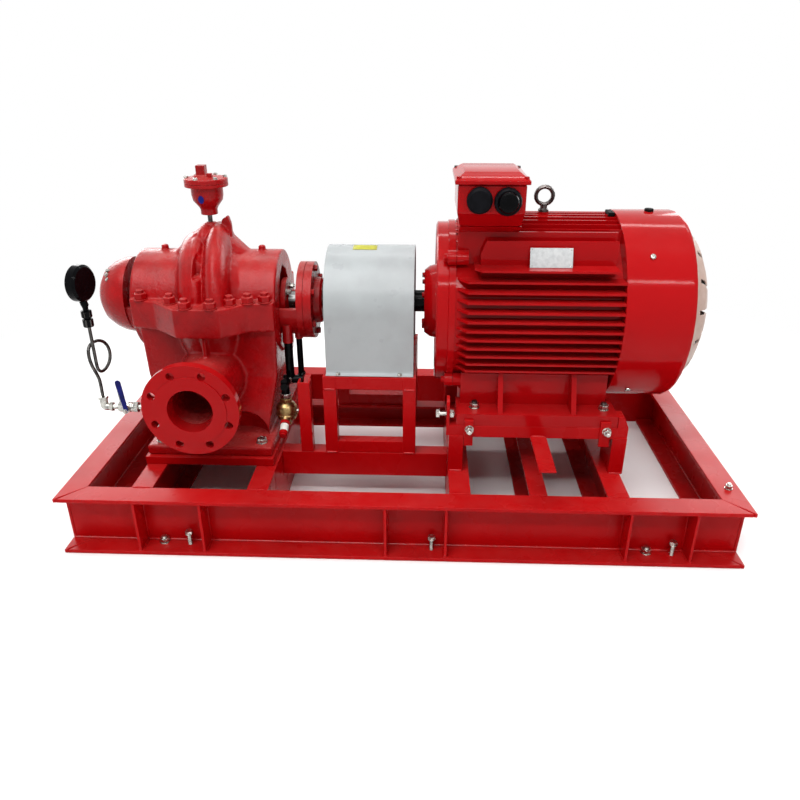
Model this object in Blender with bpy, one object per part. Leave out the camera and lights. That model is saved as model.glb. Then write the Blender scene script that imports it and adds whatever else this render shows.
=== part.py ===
"""Horizontal split-case fire pump with its motor, on a welded channel skid.

Metres, +Z up. The origin lies on the ground under the middle of the skid. X runs along the
shaft, from the pump (-X) to the motor (+X). The suction flange faces -Y.
"""

import math

import bmesh
import bpy
from mathutils import Matrix, Vector

# Clearances
SEAT = 0.0003              # gap between two faces that touch
OVERLAP = 0.002            # how far two shapes of one casting run into each other
RUNNING_CLEARANCE = 0.0007 # radial gap round a shaft in its bore
WELD = 0.00002             # points closer than this are one point

# Skid, welded from 180 mm channels
SKID_END_MARGIN = 0.348    # from the middle of the last motor beam to the skid's right end
SKID_WIDTH = 0.950
SKID_HEIGHT = 0.180
RAIL_FLANGE = 0.070
RAIL_WEB = 0.009
RAIL_LIP = 0.011
STIFFENER = 0.008
STIFFENERS_FROM_LEFT = (0.218, 0.401, 0.911, 1.078, 1.575, 1.751)

# Cross beams, by the distance of their middle from the left end of the skid
BEAM_WIDTH = 0.060
BEAM_WEB = 0.007
BEAM_LIP = 0.009
PUMP_BEAMS_FROM_LEFT = (0.224, 0.550)
MOTOR_BEAMS_FROM_LEFT = (1.116, 1.552)
MIDDLE_BEAM_FROM_LEFT = 1.333
MIDDLE_BEAM_WIDTH = 0.050
GUARD_BEAM_HEIGHT = 0.080
GUARD_BEAM_WIDTH = 0.050

# Shaft line
SHAFT_HEIGHT = 0.605
PUMP_SHAFT_RADIUS = 0.025
MOTOR_SHAFT_RADIUS = 0.0325

# Pump
PUMP_FROM_LEFT = 0.382
PUMP_PLATE_THICKNESS = 0.025
PUMP_PLATE_LENGTH = 0.380
PUMP_PLATE_WIDTH = 0.556
FOOT_THICKNESS = 0.030
FOOT_LENGTH = 0.368
FOOT_WIDTH = 0.530
BARREL_RADIUS = 0.150
CASING_LUG_TOP = 0.2515    # over the shaft
BARREL_LEFT = 0.217
BARREL_RIGHT = 0.202
STUFFING_BOX_RADIUS = 0.075
STUFFING_BOX_DEPTH = 0.075
WINDOW_RISE = 0.108
VOLUTE_RADIUS = 0.229
VOLUTE_HALF_WIDTH = 0.085
LOBE_SLANT = 0.123         # how far the volute's lobes run to the left per metre of Y
LOBES = ((-0.0386, 0.029, 0.206), (0.0215, 0.036, 0.229))  # middle, half width, radius
HOOD_HALF_WIDTH = 0.075
PARTING_HALF = 0.0415
PARTING_LEFT = ((0.2165, 0.150), (0.138, 0.172), (0.062, 0.240))
PARTING_RIGHT = ((0.066, 0.240), (0.129, 0.183), (0.2015, 0.172))
PEDESTAL_TOP = (0.198, 0.150)
PEDESTAL_FOOT = (0.158, 0.190)
FOOT_POCKET_RADIUS = 0.048
FOOT_BOLT_X = 0.150
FOOT_BOLT_Y = 0.232

# Nozzles
NOZZLE_HEIGHT = 0.412
NOZZLE_FACE = 0.389
NOZZLE_RADIUS = 0.075
SUCTION_BORE_RADIUS = 0.060
DISCHARGE_BORE_RADIUS = 0.050
SUCTION_FLANGE_RADIUS = 0.127
DISCHARGE_FLANGE_RADIUS = 0.115
FLANGE_THICKNESS = 0.026
RAISED_FACE = 0.003
RAISED_FACE_SHARE = 0.75
BOLT_CIRCLE_INSET = 0.019
FLANGE_HOLE_RADIUS = 0.011
FLANGE_HOLES = 8
BORE_DEPTH = 0.200

# Bearing housings
ARM_LEFT = 0.035
ARM_RIGHT = 0.052
ARM_RADIUS = 0.104
ARM_WALL = 0.020
HOUSING_RADIUS = 0.070
CAP_LIFT = 0.012           # how far the left cap's middle lies above the shaft

# Air vent over the volute
VENT_NIPPLE_RADIUS = 0.008
VENT_NIPPLE = 0.022
VENT_NECK_RADIUS = 0.024
VENT_CUP_RADIUS = 0.045
VENT_FLANGE_RADIUS = 0.0615
VENT_RISE = 0.126          # from the volute's top to the top of the vent's flange
VENT_KNOB = 0.036

# Gauge line, left of the suction nozzle
LINE_Y = -0.336
LINE_HEIGHT = 0.398
SIPHON_FROM_PUMP = 0.2525
SIPHON_RADIUS = 0.005
SIPHON_TOP = 0.632
ELBOW_REACH = 0.024
LOOP_RADIUS = 0.042
LOOP_HEIGHT = 0.537
LOOP_TURN = math.radians(76)  # of the loop's plane from the shaft line
LOOP_DEPTH = 0.009         # how far the loop's ends stand before and behind its middle
GAUGE_RADIUS = 0.050
GAUGE_DEPTH = 0.038
GAUGE_HEIGHT = 0.749
GAUGE_TURN = math.radians(-11)
VALVE_FROM_PUMP = 0.184
LINE_RADIUS = 0.0075
TAPPING_RADIUS = 0.015
TAPPING_REACH = 0.088
LEVER_LENGTH = 0.092
LEVER_WIDTH = 0.016
LEVER_THICKNESS = 0.003
LEVER_LEAN = math.radians(-5)
STEM_RADIUS = 0.005

# Relief valve, right of the casing
RELIEF_FROM_PUMP = 0.210
RELIEF_Y = -0.130
RELIEF_HEIGHT = 0.290
RELIEF_BULB = 0.028
RELIEF_TILT = math.radians(24)
THICK_PIPE = (0.219, -0.082, 0.0130)   # from the pump's middle, Y, radius
THIN_PIPE = (0.246, -0.045, 0.0095)
PIPE_TOP = SHAFT_HEIGHT - 0.107

# Coupling, guard and guard stand
GUARD_FROM_LEFT = (0.724, 0.980)
GUARD_RADIUS = 0.166
GUARD_SHEET = 0.0025
GUARD_FLANGE = 0.180
GUARD_BOTTOM = 0.4303
POST_FROM_LEFT = 0.640
POST_WIDTH = 0.036
POST_HEIGHT = 0.230
STAND_FROM_LEFT = (0.715, 0.988)
STAND_HALF_WIDTH = 0.187
STAND_BAR = 0.038
COUPLING_RADIUS = 0.085
COUPLING_LENGTH = 0.150

# Motor, frame size 280
MOTOR_FRAME_FROM_LEFT = (1.094, 1.5405)
HOLES_FROM_FRAME = 0.247   # from the frame's left end to the middle between the foot holes
FRAME_RADIUS = 0.236
FIN_REACH = 0.2725
TOP_FIN_HEIGHT = 0.2635    # of the middle upright fins' tops over the shaft
TOP_FIN_FALL = 1.55        # how fast the upright fins get lower to the sides, per metre squared
FIN_CHAMFER = 0.026
FIN_PITCH = 0.0254
FIN_THICKNESS = 0.006
# Upright corner fins: distance from the middle, foot and top over the shaft, start
FRONT_PLATES = ((0.190, 0.130, 0.2275, 0.064), (0.165, 0.160, 0.2465, 0.019),
                (0.140, 0.180, 0.2341, 0.019))
BACK_PLATES = ((0.190, 0.130, 0.192, 0.019), (0.165, 0.160, 0.2135, 0.019),
               (0.140, 0.180, 0.2320, 0.019))
BOSS_HEIGHT = 0.2685       # of the terminal box and eye bolt seats over the shaft
FOOT_HOLES_X = 0.368
FOOT_HOLES_Y = 0.457
MOTOR_FOOT_HEIGHT = 0.325
FOOT_PAD = 0.036
FOOT_LEFT = 0.236
FOOT_RIGHT = 0.217
FOOT_RIBS = (-0.113, 0.093)
FOOT_FRONT = 0.275
LUG_CIRCLE = 0.253
LUG_RADIUS = 0.020
SHIELD_THICKNESS = 0.046
SHIELD_RADIUS = 0.240
CAP_THICKNESS = 0.039
COWL_RADIUS = 0.272
COWL_LENGTH = 0.191
COWL_SHEET = 0.003
GRILLE_RISE = 0.068
GRILLE_DOME = ((1.0, 0.060), (0.95, 0.110), (0.86, 0.163), (0.54, 0.206), (0.08, 0.236))
GRILLE_SLOTS = 16
GRILLE_REACH = (0.075, 0.222)
FAN_RADIUS = 0.200
BOX_LENGTH = 0.170
BOX_OVERHANG = 0.006       # of the box past the frame's left end
BOX_FRONT = 0.265
BOX_BACK = 0.060
BOX_NECK = 0.043           # heights from the frame's boss
BOX_SHOULDER = 0.1138
BOX_NECK_INSET = 0.009
LID_RISE = 0.0245
ENTRY_RADIUS = 0.031       # of the plug and the gland in the box's front
EYE_RADIUS = 0.024
EYE_BOSS_RADIUS = 0.016
MOTOR_RAIL_HEIGHT = 0.035
RAIL_BAR_FROM_LEFT = 1.3385
RAIL_BAR_FRONT = 0.468

RED = (0.42, 0.010, 0.014, 1.0)

SKID_LENGTH = MOTOR_BEAMS_FROM_LEFT[1] + SKID_END_MARGIN


def from_left(distance):
    """X of a point that lies this far from the left end of the skid."""
    return distance - SKID_LENGTH / 2


def barrel_end(side):
    """X of the pump barrel's left (-1) or right (1) end."""
    return PUMP_X + BARREL_RIGHT if side > 0 else PUMP_X - BARREL_LEFT


PUMP_X = from_left(PUMP_FROM_LEFT)
PUMP_PLATE_TOP = SKID_HEIGHT + SEAT + PUMP_PLATE_THICKNESS
SIPHON_X = PUMP_X - SIPHON_FROM_PUMP
VALVE_X = PUMP_X - VALVE_FROM_PUMP
RELIEF_X = PUMP_X + RELIEF_FROM_PUMP
VENT_FLANGE_HEIGHT = SHAFT_HEIGHT + VOLUTE_RADIUS + VENT_RISE
VENT_TOP = VENT_FLANGE_HEIGHT + VENT_KNOB
FRAME_LEFT = from_left(MOTOR_FRAME_FROM_LEFT[0])
FRAME_RIGHT = from_left(MOTOR_FRAME_FROM_LEFT[1])
MOTOR_MIDDLE = FRAME_LEFT + HOLES_FROM_FRAME
EYE_X = MOTOR_MIDDLE + 0.002
FRAME_TOP = SHAFT_HEIGHT + BOSS_HEIGHT
BOX_LEFT = FRAME_LEFT - BOX_OVERHANG
STAND_TOP = GUARD_BOTTOM - SEAT


# Materials

def material(name, colour, roughness, metallic=0.0):
    """A plain Principled BSDF material."""
    made = bpy.data.materials.new(name)
    made.use_nodes = True
    shader = made.node_tree.nodes["Principled BSDF"]
    shader.inputs["Base Color"].default_value = colour
    shader.inputs["Roughness"].default_value = roughness
    shader.inputs["Metallic"].default_value = metallic
    return made


# Shape tools

def new_object(name, mesh_builder):
    """An object made from a bmesh, with every face turned outwards."""
    bmesh.ops.recalc_face_normals(mesh_builder, faces=mesh_builder.faces)
    mesh = bpy.data.meshes.new(name)
    mesh_builder.to_mesh(mesh)
    mesh_builder.free()
    made = bpy.data.objects.new(name, mesh)
    bpy.context.scene.collection.objects.link(made)
    return made


def axis_point(axis, along, first, second):
    """A point from its distance along an axis and its two other coordinates in XYZ order."""
    if axis == "X":
        return Vector((along, first, second))
    if axis == "Y":
        return Vector((first, along, second))
    return Vector((first, second, along))


def extruded(outline, axis, low, high, name="shape"):
    """A closed outline, given in the plane across an axis, made solid from low to high."""
    bm = bmesh.new()
    ring = [bm.verts.new(axis_point(axis, low, *point)) for point in outline]
    face = bm.faces.new(ring)
    grown = bmesh.ops.extrude_face_region(bm, geom=[face])
    moved = [item for item in grown["geom"] if isinstance(item, bmesh.types.BMVert)]
    bmesh.ops.translate(bm, verts=moved, vec=axis_point(axis, high - low, 0, 0))
    return new_object(name, bm)


def box(x, y, z, name="shape"):
    """A block between two X, two Y and two Z values."""
    outline = [(x[0], y[0]), (x[1], y[0]), (x[1], y[1]), (x[0], y[1])]
    return extruded(outline, "Z", z[0], z[1], name)


def turned(profile, axis, centre, steps=32, name="shape"):
    """A profile of (distance along the axis, radius) points turned into a closed solid.

    A radius of 0 at both ends makes a solid, and a profile without one makes a ring whose
    last point joins its first.
    """
    bm = bmesh.new()
    rings = []
    for along, radius in profile:
        if radius == 0:
            rings.append([bm.verts.new(axis_point(axis, along, *centre))])
            continue
        ring = []
        for step in range(steps):
            angle = 2 * math.pi * step / steps
            first = centre[0] + radius * math.cos(angle)
            second = centre[1] + radius * math.sin(angle)
            ring.append(bm.verts.new(axis_point(axis, along, first, second)))
        rings.append(ring)
    pairs = list(zip(rings, rings[1:]))
    if len(rings[0]) > 1:
        pairs.append((rings[-1], rings[0]))
    for lower, upper in pairs:
        for step in range(steps):
            after = (step + 1) % steps
            if len(lower) == 1:
                bm.faces.new((lower[0], upper[step], upper[after]))
            elif len(upper) == 1:
                bm.faces.new((lower[step], lower[after], upper[0]))
            else:
                bm.faces.new((lower[step], lower[after], upper[after], upper[step]))
    return new_object(name, bm)


def cylinder(axis, centre, radius, low, high, steps=24, name="shape"):
    """A plain round bar."""
    return turned([(low, 0), (low, radius), (high, radius), (high, 0)], axis, centre, steps, name)


def loft(sections, name="shape"):
    """A solid through outlines of (x, y) points, each at its own height."""
    bm = bmesh.new()
    rings = [[bm.verts.new((x, y, height)) for x, y in outline] for height, outline in sections]
    count = len(rings[0])
    for lower, upper in zip(rings, rings[1:]):
        for step in range(count):
            after = (step + 1) % count
            bm.faces.new((lower[step], lower[after], upper[after], upper[step]))
    bm.faces.new(rings[0])
    bm.faces.new(rings[-1])
    return new_object(name, bm)


def sweep(route, radius, sides=10, name="shape"):
    """A round bar along a route of points."""
    curve = bpy.data.curves.new(name, "CURVE")
    curve.dimensions = "3D"
    curve.bevel_depth = radius
    curve.bevel_resolution = sides // 2 - 2
    curve.use_fill_caps = True
    line = curve.splines.new("POLY")
    line.points.add(len(route) - 1)
    for point, place in zip(line.points, route):
        point.co = (*place, 1)
    holder = bpy.data.objects.new(name, curve)
    bpy.context.scene.collection.objects.link(holder)
    made = applied(holder)
    bm = bmesh.new()
    bm.from_mesh(made.data)
    bmesh.ops.remove_doubles(bm, verts=bm.verts, dist=1e-6)
    bpy.data.objects.remove(made)
    return new_object(name, bm)


def applied(made):
    """The object with its modifiers turned into mesh."""
    bpy.context.view_layer.update()
    graph = bpy.context.evaluated_depsgraph_get()
    mesh = bpy.data.meshes.new_from_object(made.evaluated_get(graph))
    name = made.name
    bpy.data.objects.remove(made)
    fresh = bpy.data.objects.new(name, mesh)
    bpy.context.scene.collection.objects.link(fresh)
    return fresh


def combined(made, tools, operation):
    """The object after a Boolean with each tool, which is used up."""
    for tool in tools:
        step = made.modifiers.new(operation, "BOOLEAN")
        step.operation = operation
        step.solver = "EXACT"
        step.object = tool
        made = applied(made)
        bpy.data.objects.remove(tool)
    return made


def joined(made, *tools):
    """The object grown by each tool."""
    return combined(made, tools, "UNION")


def cut(made, *tools):
    """The object without what each tool takes away."""
    return combined(made, tools, "DIFFERENCE")


def turned_about(made, axis, angle, centre):
    """The object turned about a line through a point."""
    place = Vector(centre)
    spin = Matrix.Translation(place) @ Matrix.Rotation(angle, 4, axis) @ Matrix.Translation(-place)
    made.data.transform(spin)
    return made


def finish(made, name, look, smooth=30):
    """The finished sub-part, with its name, material and shading."""
    bm = bmesh.new()
    bm.from_mesh(made.data)
    bmesh.ops.remove_doubles(bm, verts=bm.verts, dist=WELD)
    bmesh.ops.dissolve_limit(bm, angle_limit=math.radians(0.3), verts=bm.verts, edges=bm.edges)
    bare = [edge for edge in bm.edges if not edge.link_faces]
    bmesh.ops.delete(bm, geom=bare, context="EDGES")
    bmesh.ops.triangulate(bm, faces=bm.faces)
    bpy.data.objects.remove(made)
    kept = new_object(name, bm)
    kept.data.materials.append(look)
    kept.data.shade_smooth()
    kept.data.set_sharp_from_angle(angle=math.radians(smooth))
    return kept


def arc(centre, radius, start, end, steps):
    """Points on an arc, with both ends, angles in degrees."""
    points = []
    for step in range(steps + 1):
        angle = math.radians(start + (end - start) * step / steps)
        points.append((centre[0] + radius * math.cos(angle), centre[1] + radius * math.sin(angle)))
    return points


def half_space(side):
    """A large block above or below the shaft line, kept clear of it by half a seat."""
    reach = 1.0
    if side == "above":
        return box((-2, 2), (-reach, reach), (SHAFT_HEIGHT - SEAT / 2, SHAFT_HEIGHT + reach))
    return box((-2, 2), (-reach, reach), (SHAFT_HEIGHT - reach, SHAFT_HEIGHT + SEAT / 2))


def shaft_bore(radius, low, high):
    """A cutter for a running bore on the shaft line."""
    return cylinder("X", (0, SHAFT_HEIGHT), radius + RUNNING_CLEARANCE, low, high, 32)


# Skid

def long_rail(name, side, red):
    """A front or back rail: web inside, flanges outwards and mitred, with stiffener plates."""
    end = SKID_LENGTH / 2
    outer = side * SKID_WIDTH / 2
    inner = side * (SKID_WIDTH / 2 - RAIL_FLANGE)
    web_end = end - RAIL_WEB - SEAT
    web = sorted((inner, inner + side * RAIL_WEB))
    coped = box((-web_end, web_end), web, (RAIL_LIP + SEAT, SKID_HEIGHT - RAIL_LIP - SEAT))
    clear_end = end - RAIL_FLANGE - SEAT
    rail = joined(box((-clear_end, clear_end), web, (0, SKID_HEIGHT)), coped)
    mitre = RAIL_WEB + SEAT
    outline = [(-end + mitre, outer), (end - mitre, outer), (end - RAIL_FLANGE, inner),
               (-end + RAIL_FLANGE, inner)]
    for low in (0, SKID_HEIGHT - RAIL_LIP):
        rail = joined(rail, extruded(outline, "Z", low, low + RAIL_LIP))
    for distance in STIFFENERS_FROM_LEFT:
        middle = from_left(distance)
        plate = box((middle - STIFFENER / 2, middle + STIFFENER / 2),
                    sorted((outer - side * 0.004, inner + side * RAIL_WEB / 2)),
                    (RAIL_LIP / 2, SKID_HEIGHT - RAIL_LIP / 2))
        rail = joined(rail, plate)
    return finish(rail, name, red)


def end_rail(name, side, red):
    """A left or right rail: web outside, flanges inwards."""
    end = side * SKID_LENGTH / 2
    half = SKID_WIDTH / 2
    rail = box(sorted((end, end - side * RAIL_WEB)), (-half, half), (0, SKID_HEIGHT))
    inner = half - RAIL_FLANGE
    gap = SEAT * 1.5
    outline = [(end - side * RAIL_WEB / 2, -half + RAIL_WEB / 2 + gap),
               (end - side * RAIL_WEB / 2, half - RAIL_WEB / 2 - gap),
               (end - side * RAIL_FLANGE, inner - gap), (end - side * RAIL_FLANGE, -inner + gap)]
    for low in (0, SKID_HEIGHT - RAIL_LIP):
        rail = joined(rail, extruded(outline, "Z", low, low + RAIL_LIP))
    return finish(rail, name, red)


def channel_outline(width, height, web, lip, side, base):
    """A channel's section across its length, open towards one side, from a base height."""
    half = side * width / 2
    return [(half, base), (-half, base), (-half, base + lip), (half - side * web, base + lip),
            (half - side * web, base + height - lip), (-half, base + height - lip),
            (-half, base + height), (half, base + height)]


def cross_beams(red):
    """The beams across the skid, under the pump and the motor."""
    reach = SKID_WIDTH / 2 - RAIL_FLANGE - SEAT
    made = []
    names = ("pump_cross_beam_left", "pump_cross_beam_right")
    for name, distance, side in zip(names, PUMP_BEAMS_FROM_LEFT, (-1, 1)):
        middle = from_left(distance)
        section = channel_outline(BEAM_WIDTH, SKID_HEIGHT, BEAM_WEB, BEAM_LIP, side, 0)
        outline = [(middle + x, z) for x, z in section]
        made.append(finish(extruded(outline, "Y", -reach, reach), name, red))
    names = ("motor_cross_beam_left", "motor_cross_beam_right")
    for name, distance, side in zip(names, MOTOR_BEAMS_FROM_LEFT, (-1, 1)):
        middle = from_left(distance)
        section = channel_outline(BEAM_WIDTH, SKID_HEIGHT, BEAM_WEB, BEAM_LIP, side, 0)
        outline = [(middle + x, z) for x, z in section]
        made.append(finish(extruded(outline, "Y", -reach, reach), name, red))
    middle = from_left(MIDDLE_BEAM_FROM_LEFT)
    section = channel_outline(MIDDLE_BEAM_WIDTH, SKID_HEIGHT, BEAM_WEB, BEAM_LIP, 1, 0)
    outline = [(middle + x, z) for x, z in section]
    made.append(finish(extruded(outline, "Y", -reach, reach), "motor_cross_beam_middle", red))
    return made


def guard_beams(red):
    """The two short beams along the skid that carry the guard stand."""
    left = from_left(PUMP_BEAMS_FROM_LEFT[1]) + BEAM_WIDTH / 2 + SEAT
    right = from_left(MOTOR_BEAMS_FROM_LEFT[0]) - BEAM_WIDTH / 2 - SEAT
    base = SKID_HEIGHT - GUARD_BEAM_HEIGHT
    for name, side in (("guard_beam_front", -1), ("guard_beam_back", 1)):
        middle = side * (STAND_HALF_WIDTH - GUARD_BEAM_WIDTH / 2)
        section = channel_outline(GUARD_BEAM_WIDTH, GUARD_BEAM_HEIGHT, BEAM_WEB, BEAM_LIP,
                                  side, base)
        outline = [(middle + y, z) for y, z in section]
        finish(extruded(outline, "X", left, right), name, red)


# Pump

def parting_outline():
    """The parting flange seen from above."""
    side = [(PUMP_X - x, y) for x, y in PARTING_LEFT] + [(PUMP_X + x, y) for x, y in PARTING_RIGHT]
    return [(x, -y) for x, y in side] + side[::-1]


def round_body(steps=40):
    """The lower barrels and the rounded volute between them, turned about the shaft line."""
    left, right = barrel_end(-1), barrel_end(1)
    rise = VOLUTE_RADIUS - 0.008
    profile = [(left, 0), (left, BARREL_RADIUS)]
    arc_steps = 8
    for step in range(arc_steps + 1):
        angle = math.radians(180 - 180 * step / arc_steps)
        profile.append((PUMP_X + VOLUTE_HALF_WIDTH * math.cos(angle),
                        BARREL_RADIUS + (rise - BARREL_RADIUS) * math.sin(angle)))
    profile += [(right, BARREL_RADIUS), (right, 0)]
    return turned(profile, "X", (0, SHAFT_HEIGHT), steps)


def lobed_volute(steps=40):
    """The upper volute: two rounded lobes with a groove between, slanted across the shaft."""
    base = BARREL_RADIUS - 0.015
    reach = 0.125
    count = 44
    profile = [(PUMP_X - reach, 0), (PUMP_X - reach, base)]
    for step in range(1, count):
        along = reach * (2 * step / count - 1)
        height = base
        for middle, half, radius in LOBES:
            share = 1 - ((along - middle) / half) ** 2
            if share > 0:
                height = max(height, base + (radius - base) * share ** 0.36)
        flank = max(0.0, 1 - abs(along - LOBES[1][0]) / 0.085)
        height = max(height, base + 0.055 * flank)
        profile.append((PUMP_X + along, height))
    profile += [(PUMP_X + reach, base), (PUMP_X + reach, 0)]
    kept = [profile[0], profile[1]]
    for point, after in zip(profile[2:], profile[3:]):
        if abs(point[1] - kept[-1][1]) > 0.001 or abs(after[1] - point[1]) > 0.001:
            kept.append(point)
    kept.append(profile[-1])
    body = turned(kept, "X", (0, SHAFT_HEIGHT), steps)
    for corner in body.data.vertices:
        corner.co.x -= LOBE_SLANT * corner.co.y
    return body


def hull(points, name="shape"):
    """The convex solid round some points."""
    bm = bmesh.new()
    corners = [bm.verts.new(point) for point in points]
    made = bmesh.ops.convex_hull(bm, input=corners)
    spare = [item for item in made["geom_interior"] if isinstance(item, bmesh.types.BMVert)]
    bmesh.ops.delete(bm, geom=spare, context="VERTS")
    return new_object(name, bm)


def hood(side):
    """The sloping web from the volute's top down to a barrel's top."""
    middle, half, radius = LOBES[0] if side < 0 else LOBES[1]
    inner = PUMP_X + middle
    top = SHAFT_HEIGHT + radius * (1.035 if side < 0 else 0.965)
    outer = inner + side * (half + 0.045 if side < 0 else half + 0.050)
    low = SHAFT_HEIGHT + BARREL_RADIUS - 0.030
    wide = HOOD_HALF_WIDTH
    return hull([(inner, -0.040, top - 0.006), (inner, 0.055, top - 0.006), (inner, 0, top),
                 (inner + side * half * 0.8, -wide, low + 0.035),
                 (inner + side * half * 0.8, wide, low + 0.035),
                 (inner, -wide, low), (inner, wide, low),
                 (outer, -0.018, low + 0.0285), (outer, 0.018, low + 0.0285),
                 (outer, -0.018, low), (outer, 0.018, low)])


def stuffing_box(side):
    """The hollow at a barrel's end, with a pointed arch above the parting plane."""
    half = STUFFING_BOX_RADIUS
    points = arc((0, SHAFT_HEIGHT), half, 180, 360, 12)
    points += [(half, SHAFT_HEIGHT + 0.35 * WINDOW_RISE), (half * 0.55, SHAFT_HEIGHT + 0.8 * WINDOW_RISE),
               (0, SHAFT_HEIGHT + WINDOW_RISE), (-half * 0.55, SHAFT_HEIGHT + 0.8 * WINDOW_RISE),
               (-half, SHAFT_HEIGHT + 0.35 * WINDOW_RISE)]
    face = barrel_end(side)
    low, high = sorted((face + side * 0.01, face - side * STUFFING_BOX_DEPTH))
    return extruded(points, "X", low, high)


def flange_cutters(side, bore, flange_radius, middle_x):
    """The cutters for a nozzle's bore and bolt holes."""
    tools = []
    low, high = sorted((side * (NOZZLE_FACE + 0.01), side * (NOZZLE_FACE - BORE_DEPTH)))
    tools.append(cylinder("Y", (middle_x, NOZZLE_HEIGHT), bore, low, high, 24))
    circle = flange_radius - BOLT_CIRCLE_INSET
    low, high = sorted((side * (NOZZLE_FACE + 0.01),
                        side * (NOZZLE_FACE - RAISED_FACE - FLANGE_THICKNESS - 0.004)))
    for hole in range(FLANGE_HOLES):
        angle = 2 * math.pi * (hole + 0.5) / FLANGE_HOLES
        place = (middle_x + circle * math.cos(angle), NOZZLE_HEIGHT + circle * math.sin(angle))
        tools.append(cylinder("Y", place, FLANGE_HOLE_RADIUS, low, high, 8))
    return tools


def nozzle(side, flange_radius):
    """A nozzle with its flange, from the casing out to the flange's raised face."""
    face = NOZZLE_FACE
    back = face - RAISED_FACE - FLANGE_THICKNESS
    profile = [(0.02, 0), (0.02, NOZZLE_RADIUS + 0.03), (0.17, NOZZLE_RADIUS + 0.02),
               (back - 0.05, NOZZLE_RADIUS + 0.002), (back - 0.012, NOZZLE_RADIUS),
               (back, NOZZLE_RADIUS + 0.012), (back, flange_radius),
               (face - RAISED_FACE, flange_radius),
               (face - RAISED_FACE, flange_radius * RAISED_FACE_SHARE),
               (face, flange_radius * RAISED_FACE_SHARE), (face, 0)]
    profile = [(side * along, radius) for along, radius in profile]
    return turned(profile, "Y", (PUMP_X, NOZZLE_HEIGHT), 32)


def rectangle(half_x, half_y, middle_x=0.0):
    """A rectangle's corners, seen from above."""
    return [(middle_x - half_x, -half_y), (middle_x + half_x, -half_y),
            (middle_x + half_x, half_y), (middle_x - half_x, half_y)]


def lower_casing(red):
    """The lower half of the pump: feet, pedestal, both nozzles and the lower parting flange."""
    foot_base = PUMP_PLATE_TOP + SEAT
    foot_top = foot_base + FOOT_THICKNESS
    parting_base = SHAFT_HEIGHT - PARTING_HALF
    casing = cut(round_body(), half_space("above"))
    flange = extruded(parting_outline(), "Z", parting_base, SHAFT_HEIGHT - SEAT / 2)
    pedestal = loft([(foot_top - OVERLAP, rectangle(*PEDESTAL_FOOT, PUMP_X)),
                     (NOZZLE_HEIGHT, rectangle(PEDESTAL_TOP[0] - 0.006, PEDESTAL_TOP[1], PUMP_X)),
                     (parting_base + OVERLAP, rectangle(*PEDESTAL_TOP, PUMP_X))])
    foot = extruded(rectangle(FOOT_LENGTH / 2, FOOT_WIDTH / 2, PUMP_X), "Z", foot_base, foot_top)
    tapping = cylinder("X", (LINE_Y, LINE_HEIGHT), TAPPING_RADIUS, PUMP_X - TAPPING_REACH,
                       PUMP_X - SUCTION_BORE_RADIUS - 0.004, 12)
    pockets = [cylinder("Z", (PUMP_X + across * FOOT_BOLT_X, along * (FOOT_BOLT_Y - 0.020)),
                        FOOT_POCKET_RADIUS, foot_top + 0.0005, foot_top + 0.070, 16)
               for across in (-1, 1) for along in (-1, 1)]
    pedestal = cut(pedestal, *pockets)
    casing = joined(casing, flange, pedestal, foot, nozzle(-1, SUCTION_FLANGE_RADIUS),
                    nozzle(1, DISCHARGE_FLANGE_RADIUS), tapping)
    for side in (-1, 1):
        rib = box((PUMP_X + 0.002, PUMP_X + 0.014), sorted((side * 0.226, side * 0.120)),
                  (NOZZLE_HEIGHT + 0.050, parting_base + OVERLAP))
        casing = joined(casing, rib)
    casing = cut(casing, *flange_cutters(-1, SUCTION_BORE_RADIUS, SUCTION_FLANGE_RADIUS, PUMP_X),
                 *flange_cutters(1, DISCHARGE_BORE_RADIUS, DISCHARGE_FLANGE_RADIUS, PUMP_X),
                 stuffing_box(-1), stuffing_box(1), shaft_bore(PUMP_SHAFT_RADIUS, -1, 0))
    return finish(casing, "pump_lower_casing", red)


def upper_casing(red):
    """The upper half of the pump: barrels, volute, hoods and the upper parting flange."""
    casing = cylinder("X", (0, SHAFT_HEIGHT), BARREL_RADIUS, barrel_end(-1), barrel_end(1), 40)
    top = SHAFT_HEIGHT + PARTING_HALF
    flange = extruded(parting_outline(), "Z", SHAFT_HEIGHT - 0.01, top)
    boss = cylinder("Z", (PUMP_X, 0), 0.016, SHAFT_HEIGHT + VOLUTE_RADIUS - 0.05,
                    SHAFT_HEIGHT + VOLUTE_RADIUS + 0.004, 16)
    lug_top = SHAFT_HEIGHT + CASING_LUG_TOP
    lug_outline = [(PUMP_X + 0.033, lug_top - 0.062), (PUMP_X + 0.062, lug_top - 0.062),
                   (PUMP_X + 0.0615, lug_top - 0.0255), (PUMP_X + 0.0545, lug_top),
                   (PUMP_X + 0.0495, lug_top - 0.001), (PUMP_X + 0.034, lug_top - 0.012)]
    lug = extruded(lug_outline, "Y", -0.010, 0.010)
    volute = lobed_volute()
    pocket = box((PUMP_X - 0.017, PUMP_X - 0.0005), (-0.30, -0.11),
                 (SHAFT_HEIGHT + 0.105, SHAFT_HEIGHT + 0.190))
    volute = cut(volute, pocket)
    casing = joined(casing, flange, volute, hood(-1), hood(1), boss, lug)
    for side in (-1, 1):
        place = (PUMP_X + side * 0.145, 0)
        casing = joined(casing, cylinder("Z", place, 0.011, SHAFT_HEIGHT + 0.14,
                                         SHAFT_HEIGHT + BARREL_RADIUS + 0.016, 10))
    casing = cut(casing, half_space("below"), stuffing_box(-1), stuffing_box(1),
                 shaft_bore(PUMP_SHAFT_RADIUS, -1, 0))
    return finish(casing, "pump_upper_casing", red)


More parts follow.
